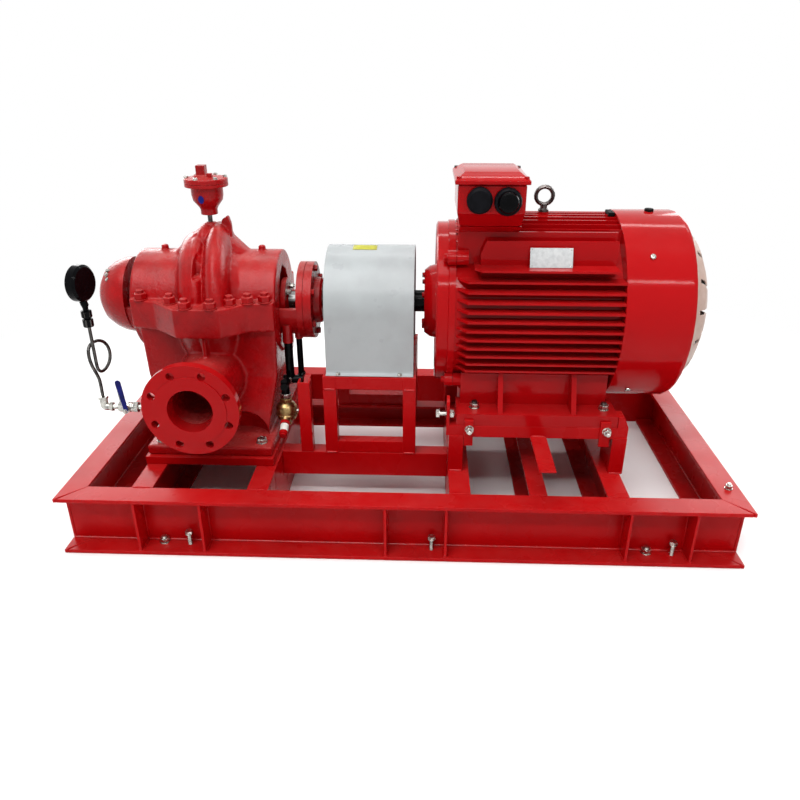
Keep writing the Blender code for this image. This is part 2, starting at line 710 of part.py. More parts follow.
def bearing_housing(side, name, red):
    """A bearing housing on the half-round arm that carries it."""
    start = barrel_end(side) + side * SEAT
    face = start + side * (ARM_RIGHT if side > 0 else ARM_LEFT)
    outline = (arc((0, SHAFT_HEIGHT), ARM_RADIUS, 180, 360, 16)
               + arc((0, SHAFT_HEIGHT), ARM_RADIUS - ARM_WALL, 360, 180, 16))
    arm = extruded(outline, "X", *sorted((start, face + side * OVERLAP)))
    bore = PUMP_SHAFT_RADIUS + RUNNING_CLEARANCE
    if side > 0:
        profile = [(0, bore), (0, 0.115), (0.019, 0.115), (0.019, 0.112), (0.021, 0.112),
                   (0.021, 0.115), (0.044, 0.115), (0.044, HOUSING_RADIUS),
                   (0.062, HOUSING_RADIUS - 0.002), (0.068, 0.060), (0.068, bore)]
        body = turned([(face + along, radius) for along, radius in profile], "X",
                      (0, SHAFT_HEIGHT), 32)
        for pipe in (THICK_PIPE, THIN_PIPE):
            place = (PUMP_X + pipe[0], pipe[1])
            arm = joined(arm, cylinder("Z", place, pipe[2] + 0.003, PIPE_TOP,
                                       SHAFT_HEIGHT - 0.050, 14))
        return finish(joined(body, arm), name, red)
    profile = [(0, 0), (0, 0.113), (0.012, 0.113), (0.030, 0.110), (0.055, 0.100),
               (0.082, 0.082), (0.100, 0.055), (0.110, 0.030), (0.110, 0)]
    body = turned([(face - along, radius) for along, radius in profile], "X",
                  (0, SHAFT_HEIGHT + CAP_LIFT), 32)
    hole = cylinder("X", (0, SHAFT_HEIGHT), bore, face - 0.078, face + 0.010, 32)
    return finish(cut(joined(body, arm), hole), name, red)


def gland(side, name, metal):
    """The gland follower that presses the packing, on the shaft at a barrel's end."""
    bottom = barrel_end(side) - side * (STUFFING_BOX_DEPTH - SEAT)
    profile = [(0, PUMP_SHAFT_RADIUS + RUNNING_CLEARANCE), (0, 0.045), (0.022, 0.045),
               (0.022, 0.064), (0.036, 0.064), (0.036, 0.040), (0.044, 0.036),
               (0.044, PUMP_SHAFT_RADIUS + RUNNING_CLEARANCE)]
    ring = turned([(bottom + side * along, radius) for along, radius in profile], "X",
                  (0, SHAFT_HEIGHT), 32)
    return finish(ring, name, metal)


def air_vent(red):
    """The automatic air vent over the volute: body on its nipple, and bolted cover."""
    base = SHAFT_HEIGHT + VOLUTE_RADIUS + 0.004 + SEAT
    neck = base + VENT_NIPPLE
    split = VENT_FLANGE_HEIGHT - 0.012
    profile = [(base, 0), (base, VENT_NIPPLE_RADIUS), (neck, VENT_NIPPLE_RADIUS),
               (neck, VENT_NECK_RADIUS), (neck + 0.014, VENT_NECK_RADIUS),
               (neck + 0.022, 0.028), (neck + 0.040, VENT_CUP_RADIUS - 0.003),
               (neck + 0.055, VENT_CUP_RADIUS), (split - 0.012, VENT_CUP_RADIUS),
               (split - 0.009, VENT_FLANGE_RADIUS), (split, VENT_FLANGE_RADIUS), (split, 0)]
    body = turned(profile, "Z", (PUMP_X, 0), 28)
    finish(body, "air_vent_body", red)
    lid = split + SEAT
    cover = turned([(lid, 0), (lid, VENT_FLANGE_RADIUS), (VENT_FLANGE_HEIGHT, VENT_FLANGE_RADIUS),
                    (VENT_FLANGE_HEIGHT + 0.002, VENT_FLANGE_RADIUS - 0.002),
                    (VENT_FLANGE_HEIGHT + 0.004, 0.034), (VENT_FLANGE_HEIGHT + 0.010, 0.028),
                    (VENT_FLANGE_HEIGHT + 0.010, 0)], "Z", (PUMP_X, 0), 28)
    boss = box((PUMP_X - 0.015, PUMP_X + 0.015), (-0.015, 0.015), (VENT_FLANGE_HEIGHT, VENT_TOP))
    finish(joined(cover, boss), "air_vent_cover", red)


# Gauge line

def siphon_route():
    """The siphon's middle line: up from the elbow, one full loop, and on to the gauge."""
    bend = 0.020
    route = [Vector((SIPHON_X + ELBOW_REACH - 0.001, LINE_Y, LINE_HEIGHT))]
    corner = Vector((SIPHON_X + bend, LINE_Y, LINE_HEIGHT + bend))
    for step in range(5):
        angle = math.radians(270 - 90 * step / 4)
        route.append(corner + Vector((bend * math.cos(angle), 0, bend * math.sin(angle))))
    across = Vector((math.cos(LOOP_TURN), math.sin(LOOP_TURN), 0))
    facing = Vector((math.sin(LOOP_TURN), -math.cos(LOOP_TURN), 0))
    middle = Vector((SIPHON_X, LINE_Y, LOOP_HEIGHT)) + across * LOOP_RADIUS / 2
    bends = [(-0.50, -1.60, 0), (-0.53, -1.30, -0.25), (-0.63, -1.03, -0.5), (-0.79, -0.74, -0.8)]
    steps = 20
    for step in range(steps + 1):
        angle = math.radians(205 - 295 * step / steps)
        bends.append((math.cos(angle), math.sin(angle), 2 * step / steps - 1))
    for step in range(1, 5):
        angle = math.radians(270 - 90 * step / 4)
        bends.append((0.5 * math.cos(angle), 0.5 * math.sin(angle) - 0.5, 1))
    bends += [(-0.50, 1.30, 1), (-0.50, 1.60, 0.5), (-0.50, 1.90, 0)]
    for sideways, up, depth in bends:
        route.append(middle + across * sideways * LOOP_RADIUS + facing * depth * LOOP_DEPTH
                     + Vector((0, 0, up * LOOP_RADIUS)))
    return route


def gauge_line(steel, black, blue):
    """The siphon, gauge, ball valve and its lever."""
    top = SIPHON_TOP
    line = sweep(siphon_route() + [Vector((SIPHON_X, LINE_Y, top))], SIPHON_RADIUS, 10)
    elbow = joined(cylinder("Z", (SIPHON_X, LINE_Y), 0.012, LINE_HEIGHT + 0.006,
                            LINE_HEIGHT + 0.030, 12),
                   cylinder("X", (LINE_Y, LINE_HEIGHT), 0.012, SIPHON_X - 0.008,
                            SIPHON_X + ELBOW_REACH, 12))
    line = joined(line, elbow)
    finish(line, "siphon_tube", steel)

    nut_base = top + SEAT
    stem_x = SIPHON_X
    stem_y = LINE_Y
    case_foot = GAUGE_HEIGHT - GAUGE_RADIUS + 0.006
    fitting = turned([(nut_base, 0), (nut_base, 0.0130), (nut_base + 0.021, 0.0130),
                      (nut_base + 0.021, 0.0085), (nut_base + 0.026, 0.0085),
                      (nut_base + 0.026, 0.0135), (nut_base + 0.043, 0.0135),
                      (nut_base + 0.045, 0.007), (case_foot - 0.022, 0.007),
                      (case_foot - 0.014, 0.010), (case_foot, 0.010), (case_foot, 0)],
                     "Z", (stem_x, stem_y), 12)
    case_profile = [(-GAUGE_DEPTH / 2, 0), (-GAUGE_DEPTH / 2, GAUGE_RADIUS - 0.006),
                    (-GAUGE_DEPTH / 2 + 0.003, GAUGE_RADIUS), (GAUGE_DEPTH / 2 - 0.006, GAUGE_RADIUS),
                    (GAUGE_DEPTH / 2, GAUGE_RADIUS - 0.006), (GAUGE_DEPTH / 2, 0)]
    case = turned([(stem_x + along, radius) for along, radius in case_profile], "X",
                  (stem_y, GAUGE_HEIGHT), 32)
    case = turned_about(case, "Z", GAUGE_TURN, (stem_x, stem_y, GAUGE_HEIGHT))
    finish(joined(case, fitting), "gauge_case", black)

    left = SIPHON_X + ELBOW_REACH + SEAT
    right = PUMP_X - TAPPING_REACH - SEAT
    body = turned([(left, 0), (left, LINE_RADIUS), (VALVE_X - 0.026, LINE_RADIUS),
                   (VALVE_X - 0.026, 0.012), (VALVE_X - 0.012, 0.012), (VALVE_X - 0.008, 0.014),
                   (VALVE_X + 0.008, 0.014), (VALVE_X + 0.012, 0.012), (VALVE_X + 0.026, 0.012),
                   (VALVE_X + 0.026, LINE_RADIUS), (right, LINE_RADIUS), (right, 0)],
                  "X", (LINE_Y, LINE_HEIGHT), 12)
    body = joined(body, cylinder("Y", (VALVE_X, LINE_HEIGHT), 0.009, LINE_Y - 0.020, LINE_Y, 12))
    finish(body, "ball_valve_body", steel)

    plate = LINE_Y - 0.026
    stem = cylinder("Y", (VALVE_X, LINE_HEIGHT), STEM_RADIUS, plate - LEVER_THICKNESS - 0.006,
                    LINE_Y - 0.020 - SEAT, 12)
    outline = (arc((VALVE_X, LINE_HEIGHT), LEVER_WIDTH / 2, 180, 360, 8)
               + arc((VALVE_X, LINE_HEIGHT + LEVER_LENGTH - LEVER_WIDTH / 2), LEVER_WIDTH / 2, 0,
                     180, 8))
    lever = turned_about(extruded(outline, "Y", plate - LEVER_THICKNESS, plate), "Y", LEVER_LEAN,
                         (VALVE_X, plate, LINE_HEIGHT))
    finish(joined(lever, stem), "ball_valve_lever", blue)


# Relief line

def relief_line(brass, red, black):
    """The brass relief valve, its outlet and the seal pipes that rise to the bearing arm."""
    bulb = RELIEF_BULB
    body = turned([(RELIEF_HEIGHT - 0.044, 0), (RELIEF_HEIGHT - 0.044, 0.012),
                   (RELIEF_HEIGHT - 0.030, 0.015), (RELIEF_HEIGHT - 0.022, bulb - 0.004),
                   (RELIEF_HEIGHT - 0.006, bulb), (RELIEF_HEIGHT + 0.014, bulb),
                   (RELIEF_HEIGHT + 0.026, bulb - 0.006), (RELIEF_HEIGHT + 0.032, 0.016),
                   (RELIEF_HEIGHT + 0.046, 0.016), (RELIEF_HEIGHT + 0.046, 0)],
                  "Z", (RELIEF_X, RELIEF_Y), 16)
    pivot = (RELIEF_X, RELIEF_Y, RELIEF_HEIGHT)
    axis = (RELIEF_X, RELIEF_HEIGHT - 0.004)
    spigot_end = RELIEF_Y - bulb - 0.012
    spigot = turned_about(cylinder("Y", axis, 0.014, spigot_end, RELIEF_Y, 14), "X",
                          RELIEF_TILT, pivot)
    finish(joined(body, spigot), "relief_valve", brass)
    outlet = turned_about(cylinder("Y", axis, 0.0105, spigot_end - 0.055, spigot_end - SEAT, 14),
                          "X", RELIEF_TILT, pivot)
    finish(outlet, "relief_outlet", red)
    base = RELIEF_HEIGHT + 0.046 + SEAT
    middle = base + 0.040
    thick_x, thin_x = PUMP_X + THICK_PIPE[0], PUMP_X + THIN_PIPE[0]
    manifold = joined(cylinder("Z", (RELIEF_X, RELIEF_Y), 0.013, base, middle + 0.014, 12),
                      cylinder("Y", (RELIEF_X, middle), 0.012, RELIEF_Y - 0.016,
                               THICK_PIPE[1] + 0.004, 12),
                      cylinder("X", (THICK_PIPE[1], middle), 0.0125, RELIEF_X - 0.013,
                               thin_x + 0.012, 12),
                      cylinder("Y", (thin_x, middle), 0.0115, THICK_PIPE[1] - 0.003,
                               THIN_PIPE[1] + 0.013, 12),
                      cylinder("Z", (thick_x, THICK_PIPE[1]), THICK_PIPE[2], middle - 0.004,
                               PIPE_TOP - SEAT, 14),
                      cylinder("Z", (thin_x, THIN_PIPE[1]), THIN_PIPE[2], middle - 0.004,
                               PIPE_TOP - SEAT, 12))
    finish(manifold, "seal_pipes", black)


# Drive

def drive(steel, black):
    """Pump shaft, coupling, motor shaft and fan, which all turn together."""
    left = barrel_end(-1) - ARM_LEFT - 0.070
    coupling_middle = (from_left(GUARD_FROM_LEFT[0]) + from_left(GUARD_FROM_LEFT[1])) / 2 + 0.010
    coupling_left = coupling_middle - COUPLING_LENGTH / 2
    coupling_right = coupling_middle + COUPLING_LENGTH / 2
    centre = (0, SHAFT_HEIGHT)
    finish(cylinder("X", centre, PUMP_SHAFT_RADIUS, left, coupling_middle - 0.004, 32),
           "pump_shaft", steel)
    hub = 0.055
    gap = 0.005
    profile = [(coupling_left, PUMP_SHAFT_RADIUS + SEAT), (coupling_left, hub),
               (coupling_middle - 0.035, hub), (coupling_middle - 0.035, COUPLING_RADIUS),
               (coupling_middle + 0.035, COUPLING_RADIUS), (coupling_middle + 0.035, hub),
               (coupling_right, hub), (coupling_right, MOTOR_SHAFT_RADIUS + SEAT),
               (coupling_middle, MOTOR_SHAFT_RADIUS + SEAT),
               (coupling_middle, PUMP_SHAFT_RADIUS + SEAT)]
    finish(turned(profile, "X", centre, 32), "coupling", black)
    fan_middle = FRAME_RIGHT + COWL_LENGTH * 0.45
    finish(cylinder("X", centre, MOTOR_SHAFT_RADIUS, coupling_middle + gap,
                    fan_middle + 0.030, 32), "motor_shaft", black)
    fan = turned([(fan_middle - 0.030, MOTOR_SHAFT_RADIUS + SEAT), (fan_middle - 0.030, 0.060),
                  (fan_middle - 0.008, 0.075), (fan_middle - 0.008, FAN_RADIUS),
                  (fan_middle + 0.000, FAN_RADIUS), (fan_middle + 0.004, 0.075),
                  (fan_middle + 0.026, 0.060), (fan_middle + 0.026, MOTOR_SHAFT_RADIUS + SEAT)],
                 "X", centre, 32)
    for blade in range(8):
        angle = 2 * math.pi * (blade + 0.5) / 8
        plate = box((fan_middle - 0.034, fan_middle - 0.002), (-0.003, 0.003),
                    (SHAFT_HEIGHT + 0.065, SHAFT_HEIGHT + FAN_RADIUS + 0.010))
        fan = joined(fan, turned_about(plate, "X", angle, (0, 0, SHAFT_HEIGHT)))
    finish(fan, "cooling_fan", black)


def coupling_guard(grey):
    """The sheet guard arched over the coupling, open below."""
    outer = GUARD_RADIUS
    inner = GUARD_RADIUS - GUARD_SHEET
    base = GUARD_BOTTOM
    sheet = GUARD_SHEET
    bend = 0.012
    rim = [(GUARD_FLANGE, base), (GUARD_FLANGE, base + sheet), (outer + bend, base + sheet),
           (outer + bend * 0.3, base + sheet + bend * 0.3), (outer, base + sheet + bend)]
    inside = [(inner, base + sheet + bend), (inner + bend * 0.3, base + bend * 0.3),
              (inner + bend, base)]
    outline = (rim + arc((0, SHAFT_HEIGHT), outer, 0, 180, 24)
               + [(-across, height) for across, height in rim[::-1]]
               + [(-across, height) for across, height in inside[::-1]]
               + arc((0, SHAFT_HEIGHT), inner, 180, 0, 24) + inside)
    guard = extruded(outline, "X", from_left(GUARD_FROM_LEFT[0]), from_left(GUARD_FROM_LEFT[1]))
    finish(guard, "coupling_guard", grey)


def guard_stand(red):
    """The table under the guard: four legs, top frame and foot bars, and the pipe post."""
    left, right = (from_left(distance) for distance in STAND_FROM_LEFT)
    base = SKID_HEIGHT + SEAT
    stand = None
    half = STAND_HALF_WIDTH
    for side in (-1, 1):
        span = sorted((side * half, side * (half - STAND_BAR)))
        inner = sorted((side * (half - 0.001), side * (half - STAND_BAR + 0.001)))
        legs = [box((left, left + STAND_BAR), span, (base, STAND_TOP)),
                box((right - STAND_BAR, right), span, (base, STAND_TOP))]
        bars = [box((left + 0.01, right - 0.01), inner, (STAND_TOP - STAND_BAR, STAND_TOP - 0.001)),
                box((left + 0.01, right - 0.01), inner, (base + 0.001, base + STAND_BAR))]
        for shape in legs + bars:
            stand = shape if stand is None else joined(stand, shape)
    for edge in (left, right - STAND_BAR):
        bar = box((edge + 0.001, edge + STAND_BAR - 0.001), (-half + 0.01, half - 0.01),
                  (STAND_TOP - STAND_BAR + 0.001, STAND_TOP - 0.002))
        stand = joined(stand, bar)
    finish(stand, "guard_stand", red)

    post_left = from_left(POST_FROM_LEFT)
    width, wall = POST_WIDTH, 0.006
    section = [(post_left, -half), (post_left + width, -half), (post_left + width, -half + width),
               (post_left + width - wall, -half + width), (post_left + width - wall, -half + wall),
               (post_left + wall, -half + wall), (post_left + wall, -half + width),
               (post_left, -half + width)]
    finish(extruded(section, "Z", base, SKID_HEIGHT + POST_HEIGHT), "pipe_post", red)


# Motor

def finned_outline():
    """The motor frame's cross section: a round body with fins to the side, top and bottom."""
    points = []
    side_fins = 11
    half = FIN_THICKNESS / 2

    def fin_pair(height, reach):
        root_low = math.sqrt(FRAME_RADIUS ** 2 - (height - half) ** 2)
        root_high = math.sqrt(FRAME_RADIUS ** 2 - (height + half) ** 2)
        return [(root_low, height - half), (reach, height - half), (reach, height + half),
                (root_high, height + half)]

    quadrant_fins = []
    for index in range(side_fins):
        height = FIN_PITCH * (index - (side_fins - 1) / 2)
        quadrant_fins.append(fin_pair(height, math.sqrt(FIN_REACH ** 2 - height ** 2)))
    right = [point for fin in quadrant_fins for point in fin]
    top_fins = 10
    top = []
    bottom = []
    for index in range(top_fins):
        across = FIN_PITCH * ((top_fins - 1) / 2 - index)
        height = TOP_FIN_HEIGHT - TOP_FIN_FALL * across ** 2
        top += [(point[1], point[0]) for point in fin_pair(across, height)[::-1]]
        reach = math.sqrt(TOP_FIN_HEIGHT ** 2 - across ** 2)
        bottom += [(point[1], -point[0]) for point in fin_pair(across, reach)[::-1]]
    points += right + top
    points += [(-y, z) for y, z in right[::-1]]
    points += bottom[::-1]
    return [(y, SHAFT_HEIGHT + z) for y, z in points]


def fin_plate(side, across, low, top, start, end):
    """An upright corner fin, with its upper left corner taken off."""
    outline = [(start, low), (end, low), (end, top), (start + 0.014, top), (start, top - 0.034)]
    half = FIN_THICKNESS / 2
    return extruded([(x, SHAFT_HEIGHT + z) for x, z in outline], "Y",
                    *sorted((side * (across - half), side * (across + half))))


def motor_frame(red):
    """The finned frame with its feet."""
    frame = extruded(finned_outline(), "X", FRAME_LEFT, FRAME_RIGHT)
    root = FRAME_RADIUS + 0.002
    slope = FIN_CHAMFER / (FIN_REACH - root)
    high = 0.320
    far = FRAME_LEFT + 0.004 + (high - root) * slope
    chamfer = turned([(FRAME_LEFT - 0.010, root), (FRAME_LEFT + 0.004, root), (far, high),
                      (FRAME_LEFT - 0.010, high)], "X", (0, SHAFT_HEIGHT), 24)
    frame = cut(frame, chamfer)
    plate_end = FRAME_RIGHT - 0.022
    shelf = [(FRAME_LEFT + 0.047, -0.150), (plate_end, -0.150), (plate_end, -0.250),
             (FRAME_LEFT + 0.066, -0.250), (FRAME_LEFT + 0.047, -0.225)]
    frame = joined(frame, extruded(shelf, "Z", SHAFT_HEIGHT + 0.157, SHAFT_HEIGHT + 0.163))
    for side, plates in ((-1, FRONT_PLATES), (1, BACK_PLATES)):
        for across, low, top, start in plates:
            frame = joined(frame, fin_plate(side, across, low, top, FRAME_LEFT + start,
                                            plate_end))
    half_y = FOOT_HOLES_Y / 2
    top = MOTOR_FOOT_HEIGHT + FOOT_PAD
    for side in (-1, 1):
        pad = box((MOTOR_MIDDLE - FOOT_LEFT, MOTOR_MIDDLE + FOOT_RIGHT),
                  sorted((side * FOOT_FRONT, side * (half_y - 0.070))),
                  (MOTOR_FOOT_HEIGHT + SEAT, top))
        wall = box((MOTOR_MIDDLE - FOOT_LEFT + 0.012, FRAME_RIGHT - 0.006),
                   sorted((side * (half_y - 0.028), side * (half_y - 0.068))),
                   (top - OVERLAP, SHAFT_HEIGHT - 0.150))
        frame = joined(frame, pad, wall)
        for place in FOOT_RIBS:
            outline = [(side * (half_y + 0.040), top - OVERLAP), (side * (half_y + 0.036), top + 0.012),
                       (side * (half_y - 0.010), SHAFT_HEIGHT - 0.140),
                       (side * (half_y - 0.040), SHAFT_HEIGHT - 0.128),
                       (side * (half_y - 0.040), top - OVERLAP)]
            rib = extruded(outline, "X", MOTOR_MIDDLE + place - 0.007, MOTOR_MIDDLE + place + 0.007)
            frame = joined(frame, rib)
    neck_front = -BOX_FRONT + 0.056
    seat = [(neck_front, FRAME_TOP), (-0.1665, SHAFT_HEIGHT + 0.245), (-0.1640, SHAFT_HEIGHT + 0.15),
            (-BOX_BACK - 0.026, SHAFT_HEIGHT + 0.15), (-BOX_BACK - 0.026, FRAME_TOP)]
    box_seat = extruded(seat, "X", BOX_LEFT + BOX_NECK_INSET + 0.0005, BOX_LEFT + BOX_LENGTH - 0.0005)
    boss = cylinder("Z", (EYE_X, 0), EYE_BOSS_RADIUS, SHAFT_HEIGHT + 0.2, FRAME_TOP, 16)
    boss_foot = box((EYE_X - 0.028, EYE_X + 0.050), (-0.030, 0.030),
                    (SHAFT_HEIGHT + 0.2, SHAFT_HEIGHT + 0.2605))
    frame = joined(frame, box_seat, boss, boss_foot)
    for turn in (45, 135, 225, 315):
        frame = joined(frame, cylinder("X", lug_place(turn), LUG_RADIUS, FRAME_LEFT + 0.0005,
                                       FRAME_LEFT + 0.032, 12))
    frame = cut(frame, shaft_bore(MOTOR_SHAFT_RADIUS, FRAME_LEFT - 0.01, FRAME_RIGHT + 0.01))
    finish(frame, "motor_frame", red)


def lug_place(turn):
    """Y and Z of a bolt lug on the end shield's rim."""
    angle = math.radians(turn)
    return LUG_CIRCLE * math.cos(angle), SHAFT_HEIGHT + LUG_CIRCLE * math.sin(angle)


def motor_ends(red):
    """The drive end shield, the fan cowl with its grille, and the cowl's inner end shield."""
    centre = (0, SHAFT_HEIGHT)
    bore = MOTOR_SHAFT_RADIUS + RUNNING_CLEARANCE
    right = FRAME_LEFT - SEAT
    left = right - SHIELD_THICKNESS
    profile = [(right, bore), (right, SHIELD_RADIUS), (right - 0.018, SHIELD_RADIUS),
               (right - 0.020, SHIELD_RADIUS - 0.005), (left + 0.004, SHIELD_RADIUS - 0.005),
               (left, SHIELD_RADIUS - 0.011), (left + 0.006, 0.200), (left + 0.009, 0.130),
               (left, 0.112), (left - CAP_THICKNESS * 0.6, 0.106), (left - CAP_THICKNESS, 0.094),
               (left - CAP_THICKNESS, bore)]
    shield = turned(profile, "X", centre, 36)
    for turn in (45, 135, 225, 315):
        shield = joined(shield, cylinder("X", lug_place(turn), LUG_RADIUS, right - 0.024,
                                         right - 0.0005, 12))
    finish(shield, "drive_end_shield", red)
    start = FRAME_RIGHT + SEAT
    end = start + COWL_LENGTH
    sheet = COWL_SHEET
    rise = GRILLE_RISE
    dome = [(end + rise * share, radius) for share, radius in GRILLE_DOME]
    inner_dome = [(along - sheet, radius - sheet) for along, radius in dome[::-1]]
    wall = ([(end + rise, 0)] + dome
            + [(end, COWL_RADIUS - 0.024), (end - 0.006, COWL_RADIUS - 0.006),
               (end - 0.020, COWL_RADIUS), (start, COWL_RADIUS), (start, COWL_RADIUS - sheet),
               (end - 0.020, COWL_RADIUS - sheet), (end - sheet, COWL_RADIUS - 0.024 - sheet)]
            + inner_dome + [(end + rise - sheet, 0)])
    cowl = turned(wall, "X", centre, 36)
    for slot in range(GRILLE_SLOTS):
        opening = box((end - 0.030, end + rise + 0.020), (-0.006, 0.006),
                      (SHAFT_HEIGHT + GRILLE_REACH[0], SHAFT_HEIGHT + GRILLE_REACH[1]))
        turn = 2 * math.pi * (slot + 0.5) / GRILLE_SLOTS
        cowl = cut(cowl, turned_about(opening, "X", turn, (0, 0, SHAFT_HEIGHT)))
    finish(cowl, "fan_cowl", red)
    rim = COWL_RADIUS - COWL_SHEET - SEAT
    spigot = [(start, bore), (start, rim), (start + 0.020, rim), (start + 0.024, 0.120),
              (start + 0.050, 0.090), (start + 0.050, bore)]
    finish(turned(spigot, "X", centre, 36), "fan_end_shield", red)


def terminal_box(red, black):
    """The terminal box, its lid, a blank plug and a cable gland."""
    base = FRAME_TOP + SEAT
    left = BOX_LEFT
    right = left + BOX_LENGTH
    front, back = -BOX_FRONT, -BOX_BACK
    shoulder = FRAME_TOP + BOX_SHOULDER
    neck = loft([(base, [(left + BOX_NECK_INSET, front + 0.055), (right, front + 0.055),
                         (right, back - 0.020), (left + BOX_NECK_INSET, back - 0.020)]),
                 (FRAME_TOP + BOX_NECK, [(left, front), (right, front), (right, back),
                                         (left, back)]),
                 (shoulder, [(left, front), (right, front), (right, back), (left, back)])])
    finish(neck, "terminal_box", red)
    lid_base = shoulder + SEAT
    lip = 0.008
    lid = loft([(lid_base, [(left - lip, front - lip), (right + lip, front - lip),
                            (right + lip, back + lip), (left - lip, back + lip)]),
                (lid_base + 0.010, [(left - lip, front - lip), (right + lip, front - lip),
                                    (right + lip, back + lip), (left - lip, back + lip)]),
                (shoulder + LID_RISE, [(left + 0.02, front + 0.045), (right - 0.02, front + 0.045),
                                       (right - 0.02, back - 0.045), (left + 0.02, back - 0.045)])])
    finish(lid, "terminal_box_lid", red)
    height = (FRAME_TOP + BOX_NECK + shoulder) / 2
    for name, across, steps in (("cable_plug", 0.054, 24), ("cable_gland", 0.127, 6)):
        radius = ENTRY_RADIUS
        centre = (left + across, height)
        piece = turned([(front - SEAT, 0), (front - SEAT, radius), (front - 0.016, radius),
                        (front - 0.022, radius - 0.006), (front - 0.022, 0)], "Y", centre, steps)
        finish(piece, name, black)


def eye_bolt(steel):
    """The lifting eye on the frame's top."""
    base = FRAME_TOP + SEAT
    eye = turned([(base, 0), (base, EYE_BOSS_RADIUS - 0.001), (base + 0.006, EYE_BOSS_RADIUS - 0.001),
                  (base + 0.010, 0.010), (base + 0.020, 0.010), (base + 0.020, 0)], "Z",
                 (EYE_X, 0), 16)
    ring_height = base + 0.020 + EYE_RADIUS
    bm = bmesh.new()
    ring_steps = 20
    tube_steps = 8
    rings = []
    for step in range(ring_steps):
        angle = 2 * math.pi * step / ring_steps
        ring = []
        for turn in range(tube_steps):
            tilt = 2 * math.pi * turn / tube_steps
            reach = EYE_RADIUS + 0.006 * math.cos(tilt)
            ring.append(bm.verts.new((EYE_X + reach * math.cos(angle), 0.006 * math.sin(tilt),
                                      ring_height + reach * math.sin(angle))))
        rings.append(ring)
    for step in range(ring_steps):
        for turn in range(tube_steps):
            first, second = rings[step], rings[(step + 1) % ring_steps]
            after = (turn + 1) % tube_steps
            bm.faces.new((first[turn], second[turn], second[after], first[after]))
    finish(joined(eye, new_object("ring", bm)), "eye_bolt", steel)


def motor_rails(red):
    """The rails under the motor's feet, with legs, stops and tabs, and the bar in front."""
    leg = 0.042
    left = from_left(MOTOR_BEAMS_FROM_LEFT[0]) - 0.031
    right = from_left(MOTOR_BEAMS_FROM_LEFT[1]) + 0.038
    top = MOTOR_FOOT_HEIGHT
    base = top - MOTOR_RAIL_HEIGHT
    outer = FOOT_FRONT + 0.002
    inner = outer - 0.110
    for name, side in (("motor_rail_front", -1), ("motor_rail_back", 1)):
        rail = box((left, right), sorted((side * inner, side * outer)), (base, top))
        for start in (left, right - leg):
            rail = joined(rail, box((start + 0.0005, start + leg - 0.0005),
                                    sorted((side * (inner + 0.004), side * (outer + 0.004))),
                                    (SKID_HEIGHT + SEAT, base + 0.004)))
        stop_start = MOTOR_MIDDLE + FOOT_RIGHT + 0.0015
        stop = [(stop_start, top - OVERLAP), (right - 0.001, top - OVERLAP),
                (right - 0.001, top + 0.004), (right - 0.014, top + FOOT_PAD - 0.002),
                (stop_start, top + FOOT_PAD - 0.002)]
        rail = joined(rail, extruded(stop, "Y", *sorted((side * (outer - 0.045),
                                                         side * (outer - 0.0005)))))
        plate_y = side * (outer - 0.0235)
        plate = ([(plate_y - 0.0225, base + 0.004), (plate_y + 0.0225, base + 0.004)]
                 + arc((plate_y, top + 0.060), 0.0225, 0, 180, 8))
        rail = joined(rail, extruded(plate, "X", left - 0.008, left + 0.0005))
        for start, width, low in ((MOTOR_MIDDLE - 0.213, 0.025, 0.025),
                                  (MOTOR_MIDDLE + 0.169, 0.029, 0.021)):
            rail = joined(rail, box((start, start + width),
                                    sorted((side * (outer - 0.0012), side * (outer + 0.007))),
                                    (base - low, top + 0.020)))
        finish(rail, name, red)
    middle = from_left(RAIL_BAR_FROM_LEFT)
    bar = box((middle - 0.0225, middle + 0.0225), (-RAIL_BAR_FRONT, -outer - SEAT),
              (base, base + 0.006))
    finish(bar, "rail_bar", red)


def build():
    """Model every sub-part."""
    for old in list(bpy.data.objects):
        bpy.data.objects.remove(old)
    red = material("red_paint", RED, 0.35)
    cast_red = material("red_cast_paint", RED, 0.5)
    steel = material("bright_steel", (0.55, 0.56, 0.58, 1), 0.3, 1.0)
    black = material("black_paint", (0.012, 0.012, 0.014, 1), 0.4)
    brass = material("brass", (0.42, 0.28, 0.10, 1), 0.35, 1.0)
    blue = material("blue_grip", (0.01, 0.02, 0.22, 1), 0.5)
    grey = material("grey_sheet", (0.62, 0.65, 0.65, 1), 0.4)

    long_rail("skid_front_rail", -1, red)
    long_rail("skid_back_rail", 1, red)
    end_rail("skid_left_rail", -1, red)
    end_rail("skid_right_rail", 1, red)
    cross_beams(red)
    guard_beams(red)

    plate = extruded(rectangle(PUMP_PLATE_LENGTH / 2, PUMP_PLATE_WIDTH / 2, PUMP_X), "Z",
                     SKID_HEIGHT + SEAT, PUMP_PLATE_TOP)
    finish(plate, "pump_base_plate", red)
    lower_casing(cast_red)
    upper_casing(cast_red)
    bearing_housing(-1, "bearing_housing_left", cast_red)
    bearing_housing(1, "bearing_housing_right", cast_red)
    gland(-1, "gland_left", steel)
    gland(1, "gland_right", steel)
    air_vent(cast_red)
    gauge_line(steel, black, blue)
    relief_line(brass, red, black)
    drive(steel, black)
    coupling_guard(grey)
    guard_stand(red)
    motor_frame(cast_red)
    motor_ends(cast_red)
    terminal_box(red, black)
    eye_bolt(steel)
    motor_rails(red)


build()
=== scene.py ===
"""Finishes a split-case fire pump with its motor on a welded skid, for one studio picture.

Metres, +Z up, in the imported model's own frame: X runs along the shaft from the pump to the
motor, and the suction flange faces -Y. Every sub-assembly is a class that dresses its own
solids and adds its fasteners, welds and fittings.
"""

import logging
import math
import random
from contextlib import contextmanager
from dataclasses import dataclass
from enum import Enum
from itertools import product
from typing import Callable, Iterator, Sequence

